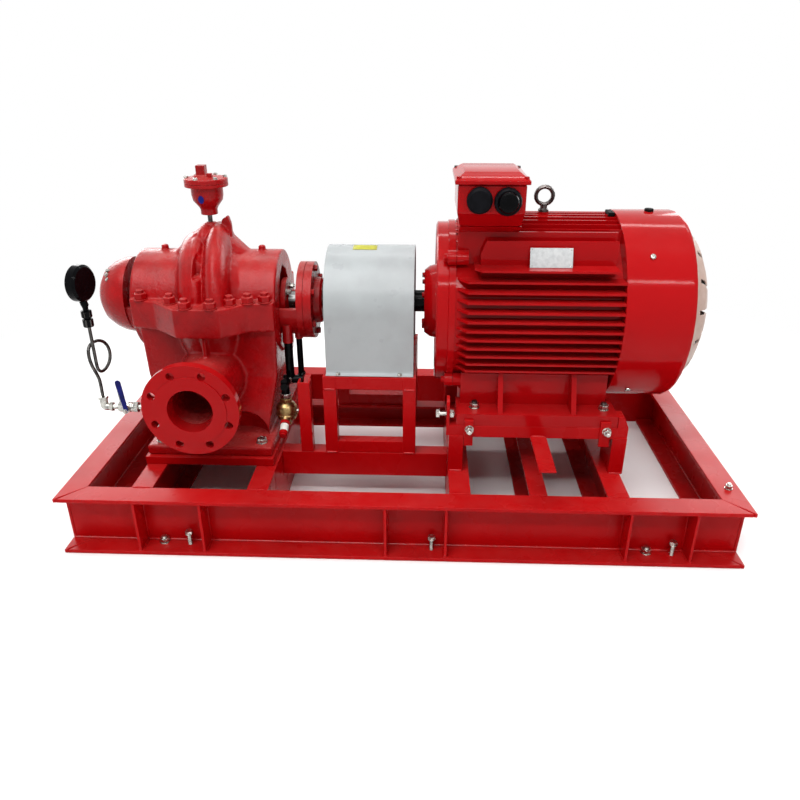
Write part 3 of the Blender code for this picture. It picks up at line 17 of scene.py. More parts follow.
import bmesh
import bpy
from mathutils import Matrix, Vector


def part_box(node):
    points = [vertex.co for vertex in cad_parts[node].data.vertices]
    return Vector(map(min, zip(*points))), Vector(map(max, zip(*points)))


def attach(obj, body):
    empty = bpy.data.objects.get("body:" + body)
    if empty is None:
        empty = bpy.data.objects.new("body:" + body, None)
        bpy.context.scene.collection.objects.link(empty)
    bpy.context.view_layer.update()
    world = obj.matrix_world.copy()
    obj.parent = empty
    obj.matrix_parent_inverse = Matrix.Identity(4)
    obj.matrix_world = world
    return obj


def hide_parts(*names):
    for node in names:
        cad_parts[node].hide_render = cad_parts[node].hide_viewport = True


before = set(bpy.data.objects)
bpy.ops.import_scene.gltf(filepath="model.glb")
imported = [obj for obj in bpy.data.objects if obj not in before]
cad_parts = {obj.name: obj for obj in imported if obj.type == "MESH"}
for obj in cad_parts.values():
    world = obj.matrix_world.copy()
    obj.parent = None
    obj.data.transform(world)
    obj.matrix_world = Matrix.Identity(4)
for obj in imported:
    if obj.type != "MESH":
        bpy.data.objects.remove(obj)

LOG = logging.getLogger("fire_pump_set")
Object = bpy.types.Object
Place = tuple[float, float, float]
Station = tuple[float, float]

SHAFT_HEIGHT = 0.605
PUMP_X = -0.568
SKID_HALF_LENGTH = 0.950
SKID_HALF_WIDTH = 0.475
SKID_HEIGHT = 0.180
FRONT = (0.0, -1.0, 0.0)
LEFT = (-1.0, 0.0, 0.0)
RIGHT = (1.0, 0.0, 0.0)
UP = (0.0, 0.0, 1.0)


# Finishes


def linear(colour: tuple[int, int, int]) -> tuple[float, float, float, float]:
    """The scene-linear colour of an sRGB colour in steps of 255."""
    parts = [step / 255 for step in colour]
    scaled = [p / 12.92 if p <= 0.04045 else ((p + 0.055) / 1.055) ** 2.4 for p in parts]
    return (scaled[0], scaled[1], scaled[2], 1.0)


class Board:
    """The node board of one material, with short ways to add and wire its nodes."""

    def __init__(self, name: str) -> None:
        """Starts a material with a Principled shader.

        Args:
            name: the material's name.
        """
        self.material = bpy.data.materials.new(name)
        self.material.use_nodes = True
        self.nodes = self.material.node_tree.nodes
        self.links = self.material.node_tree.links
        self.shader = self.nodes["Principled BSDF"]
        self.coordinates = self.add("ShaderNodeTexCoord").outputs["Object"]

    def add(self, kind: str, sockets: dict | None = None, **settings) -> bpy.types.Node:
        """Adds a node.

        Args:
            kind: the node's type name.
            sockets: values or output sockets for its inputs, by name or number.
            **settings: the node's own options.

        Returns:
            The new node.
        """
        node = self.nodes.new(kind)
        for option, value in settings.items():
            setattr(node, option, value)
        for key, value in (sockets or {}).items():
            if isinstance(value, bpy.types.NodeSocket):
                self.links.new(value, node.inputs[key])
            else:
                node.inputs[key].default_value = value
        return node

    def noise(self, size: float, detail: float, stretch: Place = (1, 1, 1)
              ) -> bpy.types.NodeSocket:
        """A noise of blobs about this many metres across, squeezed by a stretch per axis."""
        place = self.add("ShaderNodeMapping", {"Vector": self.coordinates, "Scale": stretch})
        node = self.add("ShaderNodeTexNoise", {"Vector": place.outputs[0], "Scale": 1 / size,
                                               "Detail": detail, "Roughness": 0.55})
        return node.outputs[0]

    def ranged(self, value: bpy.types.NodeSocket, start: float, end: float, low: float,
               high: float) -> bpy.types.NodeSocket:
        """A value moved from one range to another, and kept inside it."""
        node = self.add("ShaderNodeMapRange", {0: value, 1: start, 2: end, 3: low, 4: high})
        return node.outputs[0]

    def product(self, first: bpy.types.NodeSocket, second: bpy.types.NodeSocket | float
                ) -> bpy.types.NodeSocket:
        """Two values multiplied."""
        return self.add("ShaderNodeMath", {0: first, 1: second}, operation="MULTIPLY").outputs[0]

    def mixed(self, share: bpy.types.NodeSocket, first: object, second: object
              ) -> bpy.types.NodeSocket:
        """Two colours mixed by a share."""
        return self.add("ShaderNodeMix", {0: share, 6: first, 7: second},
                        data_type="RGBA").outputs[2]

    def bump(self, height: bpy.types.NodeSocket, depth: float, strength: float,
             normal: bpy.types.NodeSocket | None = None) -> bpy.types.NodeSocket:
        """A bumped normal, on top of another one where it is given."""
        sockets: dict = {"Height": height, "Distance": depth, "Strength": strength}
        if normal is not None:
            sockets["Normal"] = normal
        return self.add("ShaderNodeBump", sockets).outputs[0]

    def plug(self, name: str, value: object) -> None:
        """Sets or wires one of the shader's inputs."""
        if isinstance(value, bpy.types.NodeSocket):
            self.links.new(value, self.shader.inputs[name])
        else:
            self.shader.inputs[name].default_value = value


@dataclass(frozen=True)
class Finish:
    """One surface finish: its two colours, its gloss, and the relief that shows in it.

    Sizes are metres across one blob of the pattern, and depths are metres.
    """

    name: str
    colour: tuple[int, int, int]
    patch: tuple[int, int, int]
    gloss: tuple[float, float]
    metallic: float = 0.0
    patch_size: float = 0.09
    grain_size: float = 0.0045
    grain_depth: float = 0.0001
    swell_size: float = 0.06
    swell_depth: float = 0.0
    stretch: Place = (1, 1, 1)
    specular: float = 0.5
    # How much pale pink upward faces take: partly dust lying on them, partly a painted sheen
    # standing in for the reflection of overhead light.
    dust_and_sheen: float = 0.0

    def material(self) -> bpy.types.Material:
        """Builds the node material of this finish."""
        board = Board(self.name)
        share = board.ranged(board.noise(self.patch_size, 4), 0.38, 0.66, 0, 1)
        colour = board.mixed(share, linear(self.colour), linear(self.patch))
        # Upward faces are mixed by a noise toward a pale pink: partly dust lying on them, partly a
        # painted sheen that stands in for the pink reflection of the overhead light on tops.
        if self.dust_and_sheen:
            normal = board.add("ShaderNodeNewGeometry").outputs["Normal"]
            upward = board.add("ShaderNodeSeparateXYZ", {0: normal}).outputs["Z"]
            lying = board.ranged(upward, 0.55, 1.0, 0, self.dust_and_sheen)
            film = board.product(lying, board.ranged(board.noise(0.04, 5), 0.3, 0.75, 0.2, 1))
            colour = board.mixed(film, colour, linear((226, 170, 160)))
        board.plug("Base Color", colour)
        patches = board.noise(self.patch_size * 0.6, 3)
        board.plug("Roughness", board.ranged(patches, 0.3, 0.7, *self.gloss))
        board.plug("Metallic", self.metallic)
        board.plug("Specular IOR Level", self.specular)
        normal = None
        if self.swell_depth:
            normal = board.bump(board.noise(self.swell_size, 2), self.swell_depth, 1.0)
        grain = board.noise(self.grain_size, 3, self.stretch)
        board.plug("Normal", board.bump(grain, self.grain_depth, 0.7, normal))
        return board.material


class Look(Enum):
    """The finishes that the set shows."""

    STEELWORK = Finish("painted_steelwork", (170, 5, 9), (158, 3, 7), (0.22, 0.34),
                       patch_size=0.25, grain_size=0.006, grain_depth=0.00010,
                       swell_size=0.11, swell_depth=0.0005, specular=0.10, dust_and_sheen=0.03)
    # The castings carry the most of the pale pink on their tops, which is dust and painted sheen
    # together.
    CASTING = Finish("painted_casting", (156, 5, 10), (136, 3, 7), (0.18, 0.32),
                     patch_size=0.07, grain_size=0.0055, grain_depth=0.00105,
                     swell_size=0.028, swell_depth=0.0012, specular=0.20, dust_and_sheen=0.11)
    SMOOTH_RED = Finish("smooth_red_paint", (162, 6, 11), (152, 5, 9), (0.08, 0.15),
                        patch_size=0.3, grain_size=0.009, grain_depth=0.00005,
                        swell_size=0.15, swell_depth=0.0008, specular=0.11, dust_and_sheen=0.02)
    WELD = Finish("painted_weld", (176, 10, 14), (150, 4, 8), (0.18, 0.30), patch_size=0.02,
                  grain_size=0.004, grain_depth=0.0003, specular=0.4)
    ZINC = Finish("zinc_plated_steel", (205, 203, 196), (150, 150, 146), (0.18, 0.34), 1.0,
                  patch_size=0.012, grain_size=0.0016, grain_depth=0.00005)
    SHAFT_STEEL = Finish("turned_shaft_steel", (140, 140, 140), (96, 95, 93), (0.25, 0.40),
                         1.0, patch_size=0.03, grain_size=0.0012, grain_depth=0.00004,
                         stretch=(6, 1, 1))
    DARK_STEEL = Finish("dark_forged_steel", (96, 90, 88), (52, 47, 46), (0.22, 0.36), 0.9,
                        patch_size=0.018, grain_size=0.002, grain_depth=0.00008)
    PIPE_STEEL = Finish("weathered_pipe_steel", (92, 90, 87), (48, 47, 46), (0.22, 0.36),
                        0.9, patch_size=0.02, grain_size=0.002, grain_depth=0.00006)
    BRASS = Finish("cast_brass", (178, 152, 104), (120, 96, 60), (0.24, 0.42), 1.0,
                   patch_size=0.014, grain_size=0.0022, grain_depth=0.00016)
    BLACK = Finish("black_enamel", (6, 6, 8), (3, 3, 4), (0.10, 0.18),
                   patch_size=0.03, grain_size=0.003, grain_depth=0.00006, specular=0.06)
    MOULDED_BLACK = Finish("moulded_black_plastic", (14, 14, 18), (8, 8, 11), (0.34, 0.46),
                           patch_size=0.02, grain_size=0.0011, grain_depth=0.00007,
                           specular=0.06)
    BLUE = Finish("dipped_blue_vinyl", (8, 14, 100), (6, 10, 70), (0.30, 0.42),
                  patch_size=0.012, grain_size=0.002, grain_depth=0.00009, specular=0.15)
    GUARD_GREY = Finish("powder_coated_sheet", (160, 165, 166), (151, 155, 156), (0.26, 0.40),
                        patch_size=0.11, grain_size=0.0045, grain_depth=0.00008,
                        swell_size=0.10, swell_depth=0.0008, specular=0.4)
    # A pale colour that is partly the grille's own and partly painted light, standing in for the
    # light seen through its mesh.
    GRILLE = Finish("pale_grille_with_painted_light", (186, 158, 144), (176, 145, 131), (0.34, 0.5),
                    patch_size=0.03, grain_size=0.004, grain_depth=0.00012, specular=0.4)
    PLATE = Finish("brushed_plate", (186, 188, 188), (170, 172, 173), (0.30, 0.42), 0.6,
                   patch_size=0.010, grain_size=0.002, grain_depth=0.00004, stretch=(1, 1, 12))
    YELLOW = Finish("yellow_film", (168, 166, 10), (156, 152, 8), (0.36, 0.46),
                    patch_size=0.03, grain_size=0.004, grain_depth=0.00004)
    BLUE_FILM = Finish("blue_film", (8, 14, 112), (6, 10, 92), (0.3, 0.4),
                       patch_size=0.01, grain_size=0.003, grain_depth=0.00003, specular=0.2)
    WHITE = Finish("white_enamel", (226, 224, 218), (208, 205, 198), (0.3, 0.42),
                   patch_size=0.02, grain_size=0.003, grain_depth=0.00005)
    RUBBER = Finish("black_rubber", (14, 13, 13), (8, 8, 8), (0.5, 0.65),
                    patch_size=0.02, grain_size=0.0016, grain_depth=0.00012, specular=0.1)


class Palette:
    """Keeps each look's material, so that it is built once."""

    _made: dict[Look, bpy.types.Material] = {}

    @classmethod
    def of(cls, look: Look) -> bpy.types.Material:
        """The material of a look."""
        if look not in cls._made:
            cls._made[look] = look.value.material()
        return cls._made[look]


# Workbench


def deselect() -> None:
    """Leaves nothing selected."""
    for item in list(bpy.context.selected_objects):
        item.select_set(False)


def choose(piece: Object) -> None:
    """Makes a piece the active one and the only one that is selected."""
    deselect()
    piece.select_set(True)
    bpy.context.view_layer.objects.active = piece


def begin(adder: Callable, name: str, **options) -> Object:
    """Adds a primitive with nothing else selected.

    Args:
        adder: the operator that adds it.
        name: the piece's name.
        **options: the operator's own options.

    Returns:
        The new object.
    """
    deselect()
    adder(**options)
    piece = bpy.context.active_object
    piece.name = piece.data.name = name
    return piece


@contextmanager
def editing(piece: Object) -> Iterator[None]:
    """Holds a piece in edit mode, where its corners are selected."""
    choose(piece)
    bpy.ops.object.mode_set(mode="EDIT")
    bpy.ops.mesh.select_mode(type="VERT")
    try:
        yield
    finally:
        bpy.ops.object.mode_set(mode="OBJECT")


def pick(piece: Object, test: Callable[[Vector, Vector], bool]) -> None:
    """Selects a piece's faces, in edit mode, by their middle and normal."""
    mesh = bmesh.from_edit_mesh(piece.data)
    for face in mesh.faces:
        face.select_set(False)
    for face in mesh.faces:
        if test(face.calc_center_median(), face.normal):
            face.select_set(True)
    bmesh.update_edit_mesh(piece.data)


def modify(piece: Object, kind: str, **settings) -> Object:
    """Adds one modifier to a piece and applies it."""
    step = piece.modifiers.new(kind.lower(), kind)
    for option, value in settings.items():
        setattr(step, option, value)
    choose(piece)
    bpy.ops.object.modifier_apply(modifier=step.name)
    return piece


def settle(piece: Object) -> Object:
    """Moves a piece's place into its mesh, so that the object sits at the origin."""
    choose(piece)
    bpy.ops.object.transform_apply(location=True, rotation=True, scale=True)
    return piece


def soften(piece: Object, width: float, segments: int = 2, angle: float = 30.0) -> Object:
    """Rounds a piece's edges and leaves its broad faces flat to the light."""
    modify(piece, "BEVEL", width=width, segments=segments, limit_method="ANGLE",
           angle_limit=math.radians(angle))
    piece.data.shade_smooth()
    return modify(piece, "WEIGHTED_NORMAL", keep_sharp=True)


def paint(piece: Object, look: Look) -> Object:
    """Gives a piece one look."""
    piece.data.materials.clear()
    piece.data.materials.append(Palette.of(look))
    return piece


def aim(place: Place, towards: Place, roll: float = 0.0) -> Matrix:
    """The matrix that stands a piece built along +Z on a place, pointing in a direction."""
    turn = Vector(towards).to_track_quat("Z", "Y").to_matrix().to_4x4()
    return Matrix.Translation(place) @ turn @ Matrix.Rotation(roll, 4, "Z")


def put(piece: Object, place: Place, towards: Place = UP) -> Object:
    """Moves a piece built at the origin to its place and direction, inside its mesh."""
    piece.data.transform(aim(place, towards))
    return piece


def twin(piece: Object, matrix: Matrix, name: str) -> Object:
    """A copy of a piece with a mesh of its own, moved by a matrix."""
    copy = piece.copy()
    copy.data = piece.data.copy()
    copy.name = name
    copy.data.transform(matrix)
    bpy.context.scene.collection.objects.link(copy)
    return copy


def joined(name: str, pieces: Sequence[Object]) -> Object:
    """Several pieces made one."""
    deselect()
    for piece in pieces:
        piece.select_set(True)
    bpy.context.view_layer.objects.active = pieces[0]
    if len(pieces) > 1:
        bpy.ops.object.join()
    made = bpy.context.view_layer.objects.active
    made.name = made.data.name = name
    return made


def turned(name: str, stations: Sequence[Station], sides: int = 32, ring: bool = False
           ) -> Object:
    """A round piece along +Z from the origin, pulled from a circle station by station.

    Args:
        name: the piece's name.
        stations: (height, radius) of each station. A ring's last is its first again.
        sides: faces round the piece.
        ring: whether a hole runs through the middle.

    Returns:
        The closed piece, with its normals outwards.
    """
    height, radius = stations[0]
    piece = begin(bpy.ops.mesh.primitive_circle_add, name, vertices=sides, radius=radius,
                  location=(0, 0, height), fill_type="NOTHING" if ring else "NGON")
    with editing(piece):
        bpy.ops.mesh.select_all(action="SELECT")
        for (before, wide), (after, narrow) in zip(stations, stations[1:]):
            bpy.ops.mesh.extrude_region_move(
                TRANSFORM_OT_translate={"value": (0, 0, after - before)})
            share = narrow / wide
            bpy.ops.transform.resize(value=(share, share, 1), center_override=(0, 0, after))
        bpy.ops.mesh.select_all(action="SELECT")
        bpy.ops.mesh.remove_doubles(threshold=1e-6)
        bpy.ops.mesh.normals_make_consistent(inside=False)
    return settle(piece)


def block(name: str, low: Place, high: Place) -> Object:
    """A block between two corners, to be shaped further."""
    middle = [(a + b) / 2 for a, b in zip(low, high)]
    size = [abs(b - a) for a, b in zip(low, high)]
    return settle(begin(bpy.ops.mesh.primitive_cube_add, name, size=1, location=middle,
                        scale=size))


def plate(name: str, low: Place, high: Place, width: float) -> Object:
    """A block with rounded edges."""
    return soften(block(name, low, high), width)


def bead(name: str, start: Place, end: Place, radius: float, seed: int = 1) -> Object:
    """A weld bead between two points, with the ripples of its passes.

    Args:
        name: the piece's name.
        start: one end of the bead.
        end: the other end.
        radius: the bead's half width.
        seed: picks its ripples.

    Returns:
        The closed bead, not yet painted.
    """
    first, last = Vector(start), Vector(end)
    length = (last - first).length
    steps = max(4, int(length / (radius * 0.9)))
    draw = random.Random(seed)
    rows = []
    for step in range(steps + 1):
        swell = 1.0 if step % 2 else 0.82
        fade = min(1.0, 0.45 + 1.6 * min(step, steps - step) / steps * 4)
        rows.append((length * step / steps, radius * swell * fade * draw.uniform(0.92, 1.08)))
    piece = turned(name, rows, 8)
    put(piece, start, tuple(last - first))
    piece.data.shade_smooth()
    return piece


def solid_copy(node: str, name: str) -> Object:
    """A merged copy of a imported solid, with broad faces instead of triangles."""
    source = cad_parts[node]
    copy = twin(source, Matrix.Identity(4), name)
    copy.parent = None
    for key in list(copy.keys()):
        del copy[key]
    copy.hide_render = copy.hide_viewport = False
    if copy.data.has_custom_normals:
        choose(copy)
        bpy.ops.mesh.customdata_custom_splitnormals_clear()
    with editing(copy):
        bpy.ops.mesh.select_all(action="SELECT")
        bpy.ops.mesh.remove_doubles(threshold=1e-5)
        bpy.ops.mesh.dissolve_limited(angle_limit=math.radians(1.0))
        bpy.ops.mesh.select_all(action="SELECT")
        bpy.ops.mesh.dissolve_degenerate(threshold=5e-4)
    return copy


def deliver(piece: Object, slot: str, *nodes: str, body: str = "base") -> Object:
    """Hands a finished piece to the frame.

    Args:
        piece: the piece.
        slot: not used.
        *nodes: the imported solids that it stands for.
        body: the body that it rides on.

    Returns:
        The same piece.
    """
    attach(piece, body)
    if nodes:
        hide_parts(*nodes)
    LOG.info("%s: %d faces, on %s", piece.name, len(piece.data.polygons), body)
    return piece


def dress(piece: Object, node: str, look: Look, slot: str, width: float, segments: int = 2,
          body: str = "base") -> Object:
    """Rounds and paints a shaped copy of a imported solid, and puts it in the solid's place."""
    return deliver(paint(soften(piece, width, segments), look), slot, node, body=body)


def rounded_solid(node: str, name: str, look: Look, slot: str, width: float = 0.0015,
                  segments: int = 2, body: str = "base") -> Object:
    """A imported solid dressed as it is, with rounded edges and a look."""
    return dress(solid_copy(node, name), node, look, slot, width, segments, body)


def split_off(piece: Object, point: Place, normal: Place, side: str = "above") -> Object:
    """Keeps what lies above or below a plane and closes the cut."""
    with editing(piece):
        bpy.ops.mesh.select_all(action="SELECT")
        bpy.ops.mesh.bisect(plane_co=point, plane_no=normal, use_fill=True,
                            clear_inner=side == "above", clear_outer=side == "below")
    return piece


def cast_solid(name: str, parts: Sequence[Object], voxel: float, passes: int) -> Object:
    """Overlapping pieces grown into one skin, with soft fillets where they meet.

    Args:
        name: the skin's name.
        parts: the closed pieces, which are used up.
        voxel: the width of one cell of the skin.
        passes: how often the skin is smoothed.

    Returns:
        The skin, not yet painted.
    """
    piece = joined(name, parts)
    modify(piece, "REMESH", mode="VOXEL", voxel_size=voxel, use_smooth_shade=True)
    modify(piece, "SMOOTH", factor=0.5, iterations=passes)
    piece.data.shade_smooth()
    return piece


def carve(piece: Object, tools: Sequence[Object]) -> Object:
    """Takes each tool's shape out of a piece and removes the tool."""
    for tool in tools:
        modify(piece, "BOOLEAN", operation="DIFFERENCE", solver="EXACT", object=tool)
        bpy.data.objects.remove(tool)
    return piece


def nudge(piece: Object, test: Callable[[Vector], bool], shift: Place = (0, 0, 0),
          scale: Place = (1, 1, 1), centre: Place = (0, 0, 0)) -> Object:
    """Moves and stretches the corners that a test picks."""
    with editing(piece):
        bpy.ops.mesh.select_all(action="DESELECT")
        mesh = bmesh.from_edit_mesh(piece.data)
        for corner in mesh.verts:
            corner.select_set(test(corner.co))
        bmesh.update_edit_mesh(piece.data)
        bpy.ops.transform.resize(value=scale, center_override=centre)
        bpy.ops.transform.translate(value=shift)
    return piece


def smooth_route(points: Sequence[Place], steps: int = 3) -> list[Vector]:
    """A rounded line through some points, with this many steps between two of them."""
    places = [Vector(point) for point in points]
    ends = [places[0] * 2 - places[1]] + places + [places[-1] * 2 - places[-2]]
    line = []
    for a, b, c, d in zip(ends, ends[1:], ends[2:], ends[3:]):
        for step in range(steps):
            t = step / steps
            line.append(0.5 * (2 * b + (c - a) * t + (2 * a - 5 * b + 4 * c - d) * t ** 2
                               + (3 * b - a - 3 * c + d) * t ** 3))
    return line + [places[-1]]


def tube(name: str, route: Sequence[Vector], radius: float, resolution: int = 3) -> Object:
    """A round bar along a route, with closed ends."""
    piece = begin(bpy.ops.curve.primitive_bezier_curve_add, name)
    curve = piece.data
    curve.splines.clear()
    line = curve.splines.new("POLY")
    line.points.add(len(route) - 1)
    for point, place in zip(line.points, route):
        point.co = (*place, 1)
    curve.bevel_depth = radius
    curve.bevel_resolution = resolution
    curve.use_fill_caps = True
    bpy.ops.object.convert(target="MESH")
    piece = settle(bpy.context.active_object)
    with editing(piece):
        bpy.ops.mesh.select_all(action="SELECT")
        bpy.ops.mesh.remove_doubles(threshold=1e-6)
        bpy.ops.mesh.normals_make_consistent(inside=False)
    piece.data.shade_smooth()
    piece.data.set_sharp_from_angle(angle=math.radians(40))
    return piece


def repaint(piece: Object, look: Look, test: Callable[[Vector, Vector], bool]) -> Object:
    """Gives the faces that a test picks by middle and normal a second look."""
    piece.data.materials.append(Palette.of(look))
    number = len(piece.data.materials) - 1
    for face in piece.data.polygons:
        if test(face.center, face.normal):
            face.material_index = number
    return piece


def hex_fitting(name: str, length: float, radius: float, end: float, rim: float) -> Object:
    """A hexagonal pipe fitting along +Z, with its edges broken.

    Args:
        name: the piece's name.
        length: its length.
        radius: its radius over the corners.
        end: the same radius at its two faces.
        rim: how long the taper to each face is.

    Returns:
        The closed fitting, not yet painted.
    """
    stations = [(0, end), (rim, radius), (length - rim, radius), (length, end)]
    return soften(turned(name, stations, 6), 0.0006)


def collar(name: str, length: float, radius: float) -> Object:
    """A plain hexagonal collar along +Z, with its edges broken."""
    return soften(turned(name, [(0, radius), (length, radius)], 6), 0.0006)


def band(name: str, length: float, inner: float, outer: float, width: float) -> Object:
    """A round band along +Z, with rounded edges of this width."""
    profile = [(0, inner), (0, outer), (length, outer), (length, inner), (0, inner)]
    return soften(turned(name, profile, 28, True), width)


# Fasteners


class Fixing(Enum):
    """The kinds of fastener on the set."""

    HEX_BOLT = "hexagon bolt with its washer"
    STUD_NUT = "stud with its nut and washer"
    BARE_NUT = "stud with its nut"
    ROUND_SCREW = "round socket screw"


@dataclass(frozen=True)
class Fastener:
    """One size of a fastener, built along +Z from the face that it sits on."""

    kind: Fixing
    thread: float
    look: Look
    stud_look: Look = Look.ZINC
    stud_rise: float = 0.45

    def build(self) -> Object:
        """Models the fastener at the origin."""
        d = self.thread
        if self.kind is Fixing.ROUND_SCREW:
            head = turned("head", [(0, d), (0.35 * d, d), (0.62 * d, 0.86 * d),
                                   (0.70 * d, 0.55 * d), (0.70 * d, 0.42 * d),
                                   (0.30 * d, 0.38 * d)], 20)
            return paint(soften(head, 0.06 * d, 2), self.look)
        parts = []
        base = 0.0
        if self.kind is not Fixing.BARE_NUT:
            base = 0.16 * d
            washer = turned("washer", [(0, 0.93 * d), (base, 0.93 * d)], 24)
            parts.append(paint(soften(washer, 0.04 * d, 2), self.look))
        corner = 0.866 * d
        if self.kind is Fixing.HEX_BOLT:
            top = base + 0.64 * d
            stations = [(base - 0.01 * d, corner), (top - 0.10 * d, corner),
                        (top, 0.80 * corner), (top, 0.62 * corner), (top - 0.03 * d, 0.58 * corner)]
            parts.append(paint(soften(turned("head", stations, 6), 0.035 * d, 2), self.look))
            return joined("bolt", parts)
        top = base + 0.82 * d
        nut = turned("nut", [(base - 0.01 * d, corner * 0.93), (base + 0.07 * d, corner),
                             (top - 0.08 * d, corner), (top, 0.82 * corner)], 6)
        parts.append(paint(soften(nut, 0.035 * d, 2), self.look))
        rise = self.stud_rise * d
        stations = [(top - 0.1 * d, 0.5 * d)]
        turns = max(2, int(rise / (0.12 * d)))
        for turn in range(turns):
            height = top + rise * 0.85 * turn / turns
            stations += [(height, 0.5 * d), (height + rise * 0.4 / turns, 0.45 * d)]
        stations += [(top + rise * 0.86, 0.5 * d), (top + rise, 0.40 * d)]
        stud = turned("stud", stations, 16)
        stud.data.shade_smooth()
        parts.append(paint(soften(stud, 0.02 * d, 1, 50), self.stud_look))
        return joined("stud_and_nut", parts)

    def fit(self, name: str, spots: Sequence[tuple[Place, Place]], slot: str = "bright_steel",
            body: str = "base") -> Object:
        """Sets copies of the fastener on their spots and hands them over as one piece.

        Args:
            name: the piece's name.
            spots: the place and direction of each copy.
            slot: the record's slot of their finish.
            body: the body that they ride on.

        Returns:
            The finished piece.
        """
        master = self.build()
        draw = random.Random(name)
        copies = [twin(master, aim(place, towards, draw.uniform(0, math.pi / 3)), "copy")
                  for place, towards in spots]
        bpy.data.objects.remove(master)
        return deliver(joined(name, copies), slot, body=body)


def round_spots(centre: Place, towards: Place, radius: float, count: int, start: float = 0.0
                ) -> list[tuple[Place, Place]]:
    """Spots evenly round a circle, which all point the same way."""
    frame_of = aim(centre, towards)
    spots = []
    for index in range(count):
        angle = math.radians(start) + 2 * math.pi * index / count
        place = frame_of @ Vector((radius * math.cos(angle), radius * math.sin(angle), 0))
        spots.append((tuple(place), towards))
    return spots


# Sub-assemblies


